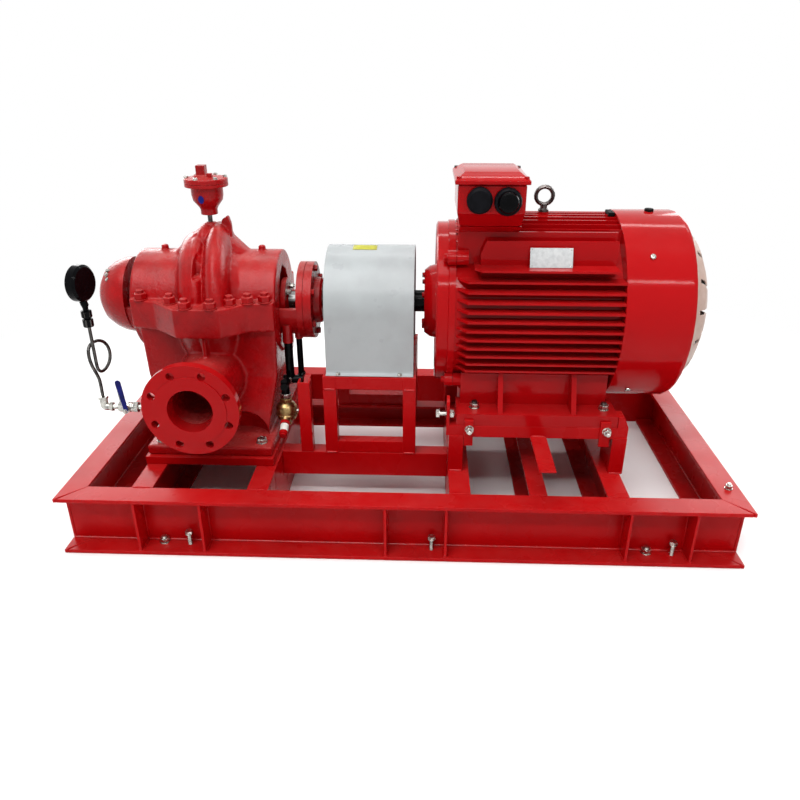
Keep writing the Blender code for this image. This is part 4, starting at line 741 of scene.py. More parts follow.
@dataclass
class Skid:
    """The welded channel skid with its cross beams, welds and holding-down bolts."""

    edge: float = 0.0016
    flange_top: float = 0.011
    rail_inside: float = 0.405
    rail_web: float = 0.009
    stiffeners: tuple[float, ...] = (-0.732, -0.549, -0.039, 0.128, 0.625, 0.801)
    bead_radius: float = 0.0036
    root_radius: float = 0.0044
    root_lift: float = 0.0012
    mitre_radius: float = 0.0036
    mitre_depth: float = 0.0028
    anchor_x: tuple[float, float] = (-0.677, 0.6934)
    anchor_y: float = 0.4262
    levelling_x: tuple[float, float, float] = (-0.600, 0.090, 0.762)
    levelling_y: float = 0.434
    earth_bolt: Place = (0.9184, -0.350, SKID_HEIGHT)

    def steelwork(self) -> None:
        """Dresses the rails and beams."""
        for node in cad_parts:
            if node in ("skid_left_rail", "skid_right_rail"):
                self.end_rail(node)
            elif node.startswith("skid_") or "_beam" in node or node == "pump_base_plate":
                rounded_solid(node, "painted_" + node, Look.STEELWORK, "red_paint", self.edge)
        rounded_solid("rail_bar", "painted_rail_bar", Look.STEELWORK, "red_paint", 0.001)

    def end_rail(self, node: str) -> None:
        """Dresses an end rail, with its web kept between the long rails' webs."""
        low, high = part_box(node)
        rail = solid_copy(node, "painted_" + node)
        reach = self.rail_inside + self.rail_web
        corners_cut = []
        for side in (-1, 1):
            near, far = sorted((side * reach, side * (SKID_HALF_WIDTH + 0.015)))
            corners_cut.append(block("corner", (low.x - 0.01, near, self.flange_top),
                                     (high.x + 0.01, far, high.z - self.flange_top)))
        carve(rail, corners_cut)
        dress(rail, node, Look.STEELWORK, "red_paint", self.edge)

    def fillets(self) -> None:
        """Rounds the roots where webs meet the lower flanges."""
        height = self.flange_top + self.root_lift
        long, wide = SKID_HALF_LENGTH - 0.006, self.rail_inside - 0.005
        runs = []
        for side in (-1, 1):
            y = side * (self.rail_inside + self.rail_web + self.root_lift)
            runs.append((Vector((-long, y, height)), Vector((long, y, height))))
            x = side * (SKID_HALF_LENGTH - self.rail_web - self.root_lift)
            runs.append((Vector((x, -wide, height)), Vector((x, wide, height))))
        bars = [paint(tube("fillet", run, self.root_radius), Look.WELD) for run in runs]
        deliver(joined("rail_root_fillets", bars), "red_paint")

    def mitre_welds(self) -> None:
        """Closes the mitres of the flanges with welds that are ground nearly flush."""
        bars = []
        for height in (SKID_HEIGHT, self.flange_top):
            for side_x, side_y in product((-1, 1), repeat=2):
                run = [Vector((side_x * (SKID_HALF_LENGTH - inset),
                               side_y * (SKID_HALF_WIDTH - inset), height - self.mitre_depth))
                       for inset in (0.0045, 0.0685)]
                bars.append(paint(tube("mitre", run, self.mitre_radius), Look.STEELWORK))
        deliver(joined("rail_mitre_welds", bars), "red_paint")

    def welds(self) -> None:
        """Lays the beads at the stiffeners and at the beams' ends."""
        beads = []
        web = self.rail_inside + self.rail_web
        for side in (-1, 1):
            for index, x in enumerate(self.stiffeners):
                for edge in (-0.0045, 0.0045):
                    root, rim = (x + edge, side * web), (x + edge, side * 0.470)
                    beads.append(bead("bead", (*root, 0.012), (*root, SKID_HEIGHT - 0.012),
                                      self.bead_radius, index))
                    beads.append(bead("bead", (*root, self.flange_top), (*rim, self.flange_top),
                                      self.bead_radius, index + 9))
        beams = [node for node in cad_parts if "_cross_beam_" in node]
        for index, node in enumerate(beams):
            low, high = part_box(node)
            for side in (-1, 1):
                end = (side * self.rail_inside, SKID_HEIGHT - 0.0005)
                beads.append(bead("bead", (low.x + 0.004, *end), (high.x - 0.004, *end), 0.0030,
                                  index + 40))
        piece = joined("skid_weld_beads", [paint(item, Look.STEELWORK) for item in beads])
        deliver(piece, "red_paint")

    def bolts(self) -> None:
        """Sets the holding-down nuts, the levelling screws and the earth bolt."""
        anchor = Fastener(Fixing.STUD_NUT, 0.016, Look.ZINC, stud_rise=0.35)
        spots = [((x, side * self.anchor_y, self.flange_top), UP) for x in self.anchor_x
                 for side in (-1, 1)]
        anchor.fit("anchor_nuts", spots)
        master = [Fastener(Fixing.HEX_BOLT, 0.013, Look.ZINC).build()]
        put(master[0], (0, 0, 0.036))
        shank = [(0.0, 0.0062)]
        for turn in range(12):
            shank += [(0.001 + 0.003 * turn, 0.0065), (0.0025 + 0.003 * turn, 0.0057)]
        master.append(paint(turned("shank", shank + [(0.0385, 0.0062)], 16), Look.ZINC))
        screw = joined("levelling_screw", master)
        feet = [(x, side * self.levelling_y, self.flange_top) for x in self.levelling_x
                for side in (-1, 1)]
        copies = [twin(screw, aim(foot, UP, index), "copy") for index, foot in enumerate(feet)]
        bpy.data.objects.remove(screw)
        deliver(joined("levelling_screws", copies), "bright_steel")
        Fastener(Fixing.STUD_NUT, 0.012, Look.ZINC).fit("earth_bolt", [(self.earth_bolt, UP)])

    def build(self) -> None:
        """Builds the whole skid."""
        self.steelwork()
        self.fillets()
        self.mitre_welds()
        self.welds()
        self.bolts()


@dataclass
class PumpCasing:
    """Both halves of the pump casing with their studs, foot bolts and air vent."""

    parting_top: float = 0.6465
    studs: tuple[tuple[float, float], ...] = (
        (-0.750, 0.149), (-0.655, 0.180), (-0.599, 0.226), (-0.528, 0.226), (-0.483, 0.192),
        (-0.437, 0.172), (-0.391, 0.161))
    foot_bolt: tuple[float, float, float] = (0.150, 0.232, 0.2356)
    arch_half: float = 0.168
    arch_rise: float = 0.081
    arch_inner: float = 0.130
    leg_foot: tuple[float, float, float] = (0.1575, 0.1895, 0.2256)
    leg_top: tuple[float, float, float] = (0.1747, 0.1692, 0.3250)
    voxel: float = 0.0032
    lower_voxel: float = 0.0040
    seam: float = 0.00004
    parting_spare: float = 0.012
    flange_shift: float = 0.003
    flange_root: float = 0.345
    face: float = 0.389
    nozzle_height: float = 0.412
    barrel: tuple[float, float] = (-0.217, 0.202)
    hollow: float = 0.113
    base: float = 0.135
    slant: float = 0.123
    left_lobe: tuple[float, float, float] = (-0.049, 0.046, 0.2010)
    right_lobe: tuple[float, float, float] = (0.0215, 0.040, 0.2300)
    belly_half: float = 0.0855
    barrel_radius: float = 0.1503
    suction: tuple[float, float, float] = (0.1325, 0.062, 0.1090)
    discharge: tuple[float, float, float] = (0.115, 0.050, 0.096)
    neck_radius: float = 0.0755
    flange_thickness: float = 0.029
    raised_face: float = 0.003
    bolt_hole: float = 0.0112
    holes: int = 8

    def sleeve(self, stations: Sequence[Station]) -> Object:
        """A fine ring about the shaft line, from (distance from the pump's middle, radius)."""
        rim = [(along, self.hollow) for along in (stations[-1][0], stations[0][0])]
        ring = turned("sleeve", list(stations) + rim + [stations[0]], 120, True)
        return put(ring, (PUMP_X, 0, SHAFT_HEIGHT), RIGHT)

    def lobe(self, middle: float, half: float, radius: float) -> Object:
        """A fine rounded lobe of the volute, slanted as the pump's own."""
        stations = []
        for step in range(25):
            share = -0.97 + 1.94 * step / 24
            rise = (1 - share ** 2) ** 0.40
            stations.append((middle + half * share, self.base + (radius - self.base) * rise))
        piece = self.sleeve(stations)
        shear = Matrix.Identity(4)
        shear[0][1] = -self.slant
        piece.data.transform(shear)
        return piece

    def barrels(self) -> Object:
        """The two stuffing box barrels as one fine ring, just inside the solid's ends."""
        left, right = self.barrel
        return self.sleeve([(left + 0.0004, self.barrel_radius),
                            (right - 0.0004, self.barrel_radius)])

    def at_parting(self, corner: Vector) -> bool:
        """Whether a corner lies on the parting of the two halves."""
        return abs(corner.z - SHAFT_HEIGHT) < 0.0012

    def upper_skin(self) -> Object:
        """The upper half: barrels, volute and hoods in one skin."""
        upper = nudge(solid_copy("pump_upper_casing", "upper"), self.at_parting,
                      (0, 0, -self.parting_spare))
        parts = [upper, self.barrels(), self.lobe(*self.left_lobe), self.lobe(*self.right_lobe)]
        saddle = begin(bpy.ops.mesh.primitive_uv_sphere_add, "saddle", segments=48, ring_count=24,
                       radius=1, location=(PUMP_X - 0.013, 0, SHAFT_HEIGHT + 0.184),
                       scale=(0.030, 0.062, 0.045))
        parts.append(settle(saddle))
        skin = cast_solid("cast_upper_casing", parts, self.voxel, 5)
        pocket = block("pocket", (PUMP_X - 0.020, -0.300, SHAFT_HEIGHT + 0.112),
                       (PUMP_X - 0.002, -0.128, SHAFT_HEIGHT + 0.196))
        return carve(skin, [soften(pocket, 0.003, 2)])

    def flange(self, side: int, radius: float, bore: float, reach: float) -> Object:
        """One nozzle's flange, with its raised face and bolt holes.

        Args:
            side: -1 in front, 1 behind.
            radius: the flange's radius.
            bore: the bore's radius.
            reach: the radius of the circle of bolt holes.

        Returns:
            The flange in its place, not yet painted.
        """
        face, back = -self.raised_face, -self.flange_thickness
        neck = self.flange_root - self.face
        rise = 0.75 * radius
        profile = [(neck, bore), (neck, self.neck_radius), (back - 0.012, 0.0754),
                   (back - 0.006, 0.0785), (back, 0.0870), (back, radius), (face, radius),
                   (face, rise), (0, rise), (0, bore), (neck, bore)]
        piece = turned("flange", profile, 96, True)
        tools = []
        for index in range(self.holes):
            hole = turned("hole", [(back - 0.005, self.bolt_hole), (0.004, self.bolt_hole)], 24)
            turn = 2 * math.pi * (index + 0.5) / self.holes
            put(hole, (reach * math.cos(turn), reach * math.sin(turn), 0))
            tools.append(hole)
        carve(piece, tools)
        soften(piece, 0.0014, 2)
        shift = self.flange_shift if side < 0 else 0.0
        return put(piece, (PUMP_X + shift, side * self.face, self.nozzle_height), (0, side, 0))

    def legs(self) -> Object:
        """The foot of the casing's body with full corners, where the solid has pockets."""
        half_x, half_y, low = self.leg_foot
        top_x, top_y, high = self.leg_top
        piece = block("legs", (PUMP_X - half_x, -half_y, low), (PUMP_X + half_x, half_y, high))
        return nudge(piece, lambda c: c.z > low + 0.01,
                     scale=(top_x / half_x, top_y / half_y, 1), centre=(PUMP_X, 0, 0))

    def foot_arches(self) -> list[Object]:
        """The rounded hollows over the feet, below both nozzles, to carve with."""
        foot = self.foot_bolt[2]
        tools = []
        for side in (-1, 1):
            near, far = sorted((side * self.arch_inner, side * (self.face - 0.010)))
            tool = block("arch", (PUMP_X - self.arch_half, near, foot - self.arch_rise),
                         (PUMP_X + self.arch_half, far, foot + self.arch_rise))
            soften(tool, 0.99 * self.arch_rise, 8)
            tools.append(split_off(tool, (0, 0, foot + 0.0001), UP))
        return tools

    def castings(self) -> None:
        """Skins the two halves, with a crisp parting face and crisp nozzle flanges."""
        upper = split_off(self.upper_skin(), (0, 0, SHAFT_HEIGHT + self.seam), UP)
        upper.data.set_sharp_from_angle(angle=math.radians(60))
        deliver(paint(upper, Look.CASTING), "red_casting", "pump_upper_casing")
        belly = [(-self.belly_half * math.cos(math.radians(step * 7.5)),
                  0.150 + 0.0715 * math.sin(math.radians(step * 7.5))) for step in range(25)]
        lower = nudge(solid_copy("pump_lower_casing", "lower"), self.at_parting,
                      (0, 0, self.parting_spare))
        body = cast_solid("cast_lower_casing",
                          [lower, self.sleeve(belly), self.legs(), self.barrels()],
                          self.lower_voxel, 4)
        split_off(body, (0, 0, SHAFT_HEIGHT - self.seam), UP, "below")
        for side in (-1, 1):
            split_off(body, (0, side * self.flange_root, 0), (0, side, 0), "below")
        carve(body, self.foot_arches())
        body.data.set_sharp_from_angle(angle=math.radians(60))
        ends = [self.flange(-1, *self.suction), self.flange(1, *self.discharge)]
        for end in ends:
            paint(end, Look.SMOOTH_RED)
        casing = joined("cast_lower_casing", [paint(body, Look.CASTING)] + ends)
        deliver(casing, "red_casting", "pump_lower_casing")

    def fixings(self) -> None:
        """Sets the parting nuts and the foot bolts."""
        spots = [((x, side * y, self.parting_top), UP) for x, y in self.studs
                 for side in (-1, 1)]
        Fastener(Fixing.STUD_NUT, 0.0212, Look.CASTING, Look.CASTING, 0.42).fit(
            "parting_nuts", spots, "red_casting")
        across, along, height = self.foot_bolt
        spots = [((PUMP_X + x * across, y * along, height), UP) for x in (-1, 1)
                 for y in (-1, 1)]
        Fastener(Fixing.HEX_BOLT, 0.018, Look.ZINC).fit("pump_foot_bolts", spots)

    def vent(self) -> None:
        """Dresses the air vent and sets its cover screws."""
        low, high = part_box("air_vent_body")
        body = solid_copy("air_vent_body", "cast_vent_body")
        nudge(body, lambda c: c.z < low.z + 0.0225 and (c.x - PUMP_X) ** 2 + c.y ** 2 < 1e-4,
              scale=(0.7, 0.7, 1), centre=(PUMP_X, 0, 0))
        dress(body, "air_vent_body", Look.CASTING, "red_casting", 0.0012)
        cover = solid_copy("air_vent_cover", "cast_vent_cover")
        nudge(cover, lambda c: c.z > high.z + 0.0215, (-0.010, 0, 0), (0.85, 0.9, 1),
              (PUMP_X, 0, 0))
        knob = plate("knob", (PUMP_X + 0.010, -0.024, high.z + 0.011),
                     (PUMP_X + 0.024, -0.010, high.z + 0.028), 0.0012)
        cover = joined("cast_vent_cover", [soften(cover, 0.0012), knob])
        deliver(paint(cover, Look.CASTING), "red_casting", "air_vent_cover")
        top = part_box("air_vent_cover")[1].z - 0.034
        Fastener(Fixing.HEX_BOLT, 0.0075, Look.ZINC).fit(
            "vent_cover_screws", round_spots((PUMP_X, 0, top), UP, 0.0535, 6, 15))
        nipple = turned("vent_nipple", [(0, 0.0068), (0.0215, 0.0068)], 20)
        put(soften(nipple, 0.0005, 2), (PUMP_X, 0, low.z + 0.0002))
        deliver(paint(nipple, Look.DARK_STEEL), "bright_steel")
        spot = begin(bpy.ops.mesh.primitive_circle_add, "vent_spot", vertices=28, radius=1,
                     fill_type="NGON")
        spot.data.transform(Matrix.Diagonal((0.0082, 0.0108, 1, 1)))
        modify(spot, "SOLIDIFY", thickness=0.0008, offset=1)
        put(spot, (-0.5745, -0.0447, 0.9075), FRONT)
        deliver(paint(spot, Look.BLUE_FILM), "red_casting")

    def build(self) -> None:
        """Builds the casing and the vent."""
        self.castings()
        self.fixings()
        self.vent()


@dataclass
class Bearings:
    """The two bearing housings, their screws, and the glands behind them."""

    left_end: float = -0.785
    right_end: float = -0.366
    right_disc: float = -0.2697
    gland_radius: float = 0.066
    gland_stud_circle: float = 0.047
    cap_screws: tuple[Place, ...] = ((-0.8777, -0.0458, 0.7002), (-0.8770, -0.0586, 0.6917),
                                     (-0.8713, -0.0709, 0.6802))
    cap_share: float = 0.94

    def glands(self) -> None:
        """Adds the red gland plates with their studs."""
        pieces, spots = [], []
        for side, end in ((-1, self.left_end), (1, self.right_end)):
            towards = RIGHT if side > 0 else LEFT
            sleeve = turned("sleeve", [(-0.030, 0.0262), (-0.030, 0.036), (0, 0.036),
                                       (0, self.gland_radius), (0.015, self.gland_radius),
                                       (0.015, 0.034), (0.019, 0.031), (0.019, 0.0262),
                                       (-0.030, 0.0262)], 40, True)
            pieces.append(put(soften(sleeve, 0.0012, 2), (end - side * 0.003, 0, SHAFT_HEIGHT),
                              towards))
            spots += round_spots((end + side * 0.012, 0, SHAFT_HEIGHT), towards,
                                 self.gland_stud_circle, 4, 45)
        piece = joined("gland_plates", [paint(item, Look.CASTING) for item in pieces])
        deliver(piece, "red_casting")
        Fastener(Fixing.STUD_NUT, 0.010, Look.ZINC, stud_rise=0.5).fit("gland_nuts", spots)

    def build(self) -> None:
        """Builds both ends."""
        cap = solid_copy("bearing_housing_left", "cast_housing_left")
        nudge(cap, lambda c: c.x < self.left_end - 0.015, scale=(self.cap_share, 1, 1),
              centre=(self.left_end, 0, 0))
        dress(cap, "bearing_housing_left", Look.CASTING, "red_casting", 0.0016)
        rounded_solid("bearing_housing_right", "cast_housing_right", Look.CASTING,
                      "red_casting", 0.0016)
        for side in ("left", "right"):
            rounded_solid("gland_" + side, "gland_follower_" + side, Look.CASTING,
                          "red_casting", 0.0012)
        self.glands()
        centre = (self.right_disc, 0, SHAFT_HEIGHT)
        Fastener(Fixing.HEX_BOLT, 0.011, Look.CASTING).fit(
            "housing_right_bolts", round_spots(centre, RIGHT, 0.098, 6, 30), "red_casting")
        outward = (-0.55, -0.45, 0.70)
        Fastener(Fixing.HEX_BOLT, 0.0075, Look.ZINC).fit(
            "cap_screws", [(spot, outward) for spot in self.cap_screws])


@dataclass
class GaugeLine:
    """The pressure gauge on its siphon, and the ball valve below."""

    line_x: float = -0.8205
    line_y: float = -0.336
    line_height: float = 0.398
    gauge_height: float = 0.749
    gauge_turn: float = math.radians(-11)
    gauge_half: float = 0.005
    gauge_lean: float = -0.003
    gauge_share: float = 0.95
    valve_x: float = -0.752
    ticks: int = 31
    loop_radius: float = 0.042
    loop_height: float = 0.539
    loop_turn: float = math.radians(76)
    tube_radius: float = 0.0045

    def dial(self) -> None:
        """Builds the gauge's white dial with its scale, needle and bezel, facing left."""
        half = self.gauge_half
        face = turned("dial", [(half - 0.001, 0.0425), (half + 0.0004, 0.0425)], 48)
        marks = []
        for index in range(self.ticks):
            long = index % 5 == 0
            reach = 0.0075 if long else 0.0045
            mark = block("mark", (-0.0005, 0.0400 - reach, half), (0.0005, 0.0400, half + 0.0007))
            angle = math.radians(135 - 270 * index / (self.ticks - 1))
            mark.data.transform(Matrix.Rotation(angle, 4, "Z"))
            marks.append(mark)
        needle = block("needle", (-0.0009, -0.010, half + 0.001), (0.0009, 0.031, half + 0.0018))
        with editing(needle):
            pick(needle, lambda c, n: n.y > 0.9)
            bpy.ops.transform.resize(value=(0.2, 1, 1))
        needle.data.transform(Matrix.Rotation(math.radians(135), 4, "Z"))
        hub = soften(turned("hub", [(half, 0.0045), (half + 0.0028, 0.0040)], 24), 0.0004)
        bezel = turned("bezel", [(half - 0.004, 0.0430), (half - 0.004, 0.0500),
                                 (half + 0.002, 0.0500), (half + 0.0036, 0.0485),
                                 (half + 0.0036, 0.0450), (half + 0.001, 0.0425),
                                 (half - 0.004, 0.0430)], 56, True)
        soften(bezel, 0.0005, 2)
        for piece, look in ((face, Look.WHITE), (needle, Look.BLACK), (hub, Look.BLACK),
                            (bezel, Look.BLACK)):
            paint(piece, look)
        scale = joined("scale", [paint(mark, Look.BLACK) for mark in marks])
        dial = joined("gauge_dial", [face, scale, needle, hub, bezel])
        towards = (-math.cos(self.gauge_turn), -math.sin(self.gauge_turn), 0.0)
        dial.data.transform(Matrix.Scale(self.gauge_share, 4))
        put(dial, (self.line_x + self.gauge_lean, self.line_y, self.gauge_height), towards)
        deliver(dial, "black_paint")

    def case(self) -> None:
        """Dresses the gauge's case, a little thinner than its solid."""
        case = solid_copy("gauge_case", "enamelled_gauge")
        axis = Vector((-math.cos(self.gauge_turn), -math.sin(self.gauge_turn), 0))
        middle = Vector((self.line_x, self.line_y, self.gauge_height))

        def on_dial_side(corner: Vector) -> bool:
            offset = corner - middle
            return offset.dot(axis) > 0.010 and offset.z > -0.055

        nudge(case, on_dial_side, tuple(axis * -0.0142))
        share = (self.gauge_share,) * 3
        nudge(case, lambda c: c.z > self.gauge_height - 0.052, (self.gauge_lean, 0, 0), share,
              tuple(middle))
        dress(case, "gauge_case", Look.BLACK, "black_paint", 0.0022, 3)

    def siphon(self) -> None:
        """Bends the steel tube with its pigtail, and sets the elbow under it."""
        r = self.loop_radius
        across = Vector((math.cos(self.loop_turn), math.sin(self.loop_turn), 0))
        facing = Vector((math.sin(self.loop_turn), -math.cos(self.loop_turn), 0))
        foot = Vector((self.line_x, self.line_y, 0))
        middle = foot + across * r / 2 + Vector((0, 0, self.loop_height))
        bends = [(-0.50, -0.35, 0), (-0.44, -0.72, 0), (-0.24, -0.95, 0), (0.05, -1.0, -0.0005),
                 (0.40, -0.92, -0.001), (0.72, -0.70, -0.0015), (0.93, -0.37, -0.002),
                 (1.0, 0.0, -0.003), (0.93, 0.37, -0.0045), (0.71, 0.71, -0.006),
                 (0.37, 0.93, -0.008), (0.0, 1.0, -0.0098), (-0.35, 0.94, -0.0112),
                 (-0.62, 0.74, -0.0112), (-0.78, 0.44, -0.009), (-0.84, 0.06, -0.0065),
                 (-0.81, -0.33, -0.0045), (-0.71, -0.70, -0.0028), (-0.60, -1.05, -0.0013),
                 (-0.52, -1.40, -0.0003), (-0.50, -1.75, 0)]
        loop = [tuple(middle + across * u * r + facing * d + Vector((0, 0, w * r)))
                for u, w, d in bends]
        line = ([tuple(foot + Vector((0, 0, z))) for z in (0.6335, 0.605, 0.575, 0.545)] + loop
                + [tuple(foot + Vector((0, 0, z))) for z in (0.445, 0.425)])
        pipe = paint(tube("pipe", smooth_route(line), self.tube_radius), Look.PIPE_STEEL)
        height = self.line_height
        bend = [(self.line_x + 0.020, self.line_y, height), (self.line_x + 0.006, self.line_y,
                height), (self.line_x + 0.0012, self.line_y, height + 0.0025),
                (self.line_x, self.line_y, height + 0.008), (self.line_x, self.line_y,
                height + 0.028)]
        elbow = paint(tube("elbow", smooth_route(bend), 0.0108, 5), Look.ZINC)
        piece = joined("steel_siphon", [pipe, elbow])
        deliver(piece, "bright_steel", "siphon_tube")

    def fittings(self) -> None:
        """Adds the hexagons of the elbow, the siphon's nuts and the valve."""
        pieces = [
            put(collar("collar", 0.008, 0.0135),
                (self.line_x, self.line_y, self.line_height + 0.023)),
            put(collar("collar", 0.008, 0.0135),
                (self.line_x + 0.0165, self.line_y, self.line_height), RIGHT),
            put(hex_fitting("valve_end", 0.0125, 0.0158, 0.0145, 0.0015),
                (self.valve_x - 0.0275, self.line_y, self.line_height), RIGHT),
            put(hex_fitting("valve_end", 0.0125, 0.0158, 0.0145, 0.0015),
                (self.valve_x + 0.0150, self.line_y, self.line_height), RIGHT),
            put(hex_fitting("union", 0.016, 0.0168, 0.0150, 0.0015),
                (self.valve_x + 0.0560, self.line_y, self.line_height), RIGHT)]
        for item in pieces:
            paint(item, Look.ZINC)
        for foot, length in ((0.6326, 0.0207), (0.6588, 0.0164)):
            nut = hex_fitting("nut", length, 0.0137, 0.0126, 0.0012)
            pieces.append(paint(put(nut, (self.line_x, self.line_y, foot)), Look.PIPE_STEEL))
        deliver(joined("pipe_hexagons", pieces), "bright_steel")

    def build(self) -> None:
        """Builds the line."""
        self.siphon()
        self.case()
        rounded_solid("ball_valve_body", "steel_ball_valve", Look.ZINC, "bright_steel", 0.0008)
        lever = soften(solid_copy("ball_valve_lever", "dipped_lever"), 0.0011, 3)
        repaint(paint(lever, Look.BLUE), Look.ZINC, lambda c, n: c.z < self.line_height + 0.016)
        deliver(lever, "blue_grip", "ball_valve_lever", body="valve_lever")
        nut = put(Fastener(Fixing.BARE_NUT, 0.0065, Look.ZINC).build(),
                  (self.valve_x, self.line_y - 0.0288, self.line_height), FRONT)
        nut.name = "lever_nut"
        deliver(nut, "bright_steel", body="valve_lever")
        self.dial()
        self.fittings()


@dataclass
class ReliefLine:
    """The brass relief valve, its outlet and the pipes to the bearing arm."""

    place: Place = (-0.358, -0.130, 0.290)
    tilt: float = math.radians(24)

    def along(self, reach: float) -> Place:
        """A point on the outlet's middle line."""
        axis = Vector((0, -reach, -0.004))
        axis.rotate(Matrix.Rotation(self.tilt, 3, "X"))
        return tuple(Vector(self.place) + axis)

    def build(self) -> None:
        """Builds the line."""
        brass = solid_copy("relief_valve", "brass_relief_valve")
        nudge(brass, lambda c: abs(c.z - self.place[2] - 0.002) < 0.026 and c.y > -0.160,
              scale=(1.16, 1.16, 1), centre=self.place)
        dress(brass, "relief_valve", Look.BRASS, "brass", 0.0022, 3)
        rounded_solid("relief_outlet", "painted_outlet", Look.SMOOTH_RED, "red_paint", 0.0010)
        rounded_solid("seal_pipes", "black_seal_pipes", Look.BLACK, "black_paint", 0.0008)
        down = (0.0, -math.cos(self.tilt), -math.sin(self.tilt))
        bands = [(0.042, Look.SMOOTH_RED, band("ring", 0.010, 0.0106, 0.0150, 0.0008)),
                 (0.053, Look.WHITE, band("sleeve", 0.024, 0.0107, 0.0124, 0.0006)),
                 (0.078, Look.SMOOTH_RED, band("end", 0.012, 0.0107, 0.0130, 0.0006))]
        rings = [paint(put(ring, self.along(reach), down), look) for reach, look, ring in bands]
        deliver(joined("outlet_rings", rings), "red_paint")
        x, y, height = self.place
        lip = turned("lip", [(0, 0.0325), (0.0018, 0.0340), (0.0055, 0.0340), (0.0072, 0.0325)],
                     40)
        paint(put(soften(lip, 0.0008), (x, y, height - 0.010)), Look.BRASS)
        nut = hex_fitting("nut", 0.0145, 0.0195, 0.0175, 0.002)
        paint(put(nut, (x, y, height + 0.031)), Look.BRASS)
        deliver(joined("relief_hexagon", [nut, lip]), "brass")
        pieces = [put(hex_fitting("upper", 0.014, 0.0180, 0.0165, 0.002),
                      (x, y, height + 0.0475)),
                  put(hex_fitting("union", 0.016, 0.0172, 0.0155, 0.002),
                      (x - 0.002, y + 0.0480, height + 0.0863), RIGHT),
                  put(collar("plug", 0.008, 0.0060), (x + 0.0305, y - 0.004, height + 0.004),
                      RIGHT)]
        piece = joined("relief_fittings", [paint(item, Look.ZINC) for item in pieces])
        deliver(piece, "bright_steel")


@dataclass
class Drive:
    """The shafts, the coupling and the fan, which turn together."""

    coupling_x: float = -0.088
    pin_circle: float = 0.069

    def build(self) -> None:
        """Builds what turns."""
        for node, name, look, slot, width in (
                ("pump_shaft", "turned_pump_shaft", Look.SHAFT_STEEL, "bright_steel", 0.0012),
                ("motor_shaft", "turned_motor_shaft", Look.BLACK, "black_paint", 0.0012),
                ("coupling", "pin_coupling", Look.BLACK, "black_paint", 0.0015),
                ("cooling_fan", "cast_fan", Look.MOULDED_BLACK, "black_paint", 0.001)):
            rounded_solid(node, name, look, slot, width, body="rotor")
        spots = []
        for side, towards in ((-1, LEFT), (1, RIGHT)):
            face = (self.coupling_x + side * 0.035, 0, SHAFT_HEIGHT)
            spots += round_spots(face, towards, self.pin_circle, 6)
        Fastener(Fixing.STUD_NUT, 0.010, Look.ZINC).fit("coupling_pins", spots, body="rotor")


@dataclass
class Guard:
    """The coupling guard on its welded stand, with the pipe post beside it."""

    bolt_x: tuple[float, float] = (-0.190, -0.010)
    bolt_y: float = 0.1735
    flange_top: float = 0.4328
    radius: float = 0.166
    film: tuple[float, float, float, float] = (-0.151, -0.081, -0.034, 0.006)

    def sticker(self) -> None:
        """Lays the plain yellow film over the guard's round top."""
        low_x, high_x, low_y, high_y = self.film
        piece = begin(bpy.ops.mesh.primitive_grid_add, "guard_sticker", x_subdivisions=4,
                      y_subdivisions=16, size=2)
        for corner in piece.data.vertices:
            along = (low_x + high_x) / 2 + corner.co.x * (high_x - low_x) / 2
            across = (low_y + high_y) / 2 + corner.co.y * (high_y - low_y) / 2
            angle = across / self.radius
            reach = self.radius + 0.0002
            corner.co = (along, reach * math.sin(angle), SHAFT_HEIGHT + reach * math.cos(angle))
        modify(piece, "SOLIDIFY", thickness=0.0006, offset=1)
        piece.data.shade_smooth()
        deliver(paint(piece, Look.YELLOW), "grey_sheet")

    def stand_welds(self) -> None:
        """Lays the beads at the feet and heads of the stand's legs."""
        low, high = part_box("guard_stand")
        beads = []
        for x in (low.x, high.x - 0.038):
            for side in (-1, 1):
                front = side * 0.187
                for z in (low.z + 0.001, high.z - 0.038):
                    beads.append(bead("bead", (x + 0.002, front, z), (x + 0.036, front, z),
                                      0.0032, len(beads)))
        piece = joined("stand_weld_beads", [paint(item, Look.WELD) for item in beads])
        deliver(piece, "red_paint")

    def build(self) -> None:
        """Builds the guard."""
        rounded_solid("coupling_guard", "sheet_guard", Look.GUARD_GREY, "grey_sheet", 0.0008)
        rounded_solid("guard_stand", "painted_guard_stand", Look.STEELWORK, "red_paint", 0.0015)
        rounded_solid("pipe_post", "painted_pipe_post", Look.STEELWORK, "red_paint", 0.0012)
        spots = [((x, side * self.bolt_y, self.flange_top), UP) for x in self.bolt_x
                 for side in (-1, 1)]
        Fastener(Fixing.HEX_BOLT, 0.008, Look.ZINC).fit("guard_bolts", spots)
        self.sticker()
        self.stand_welds()


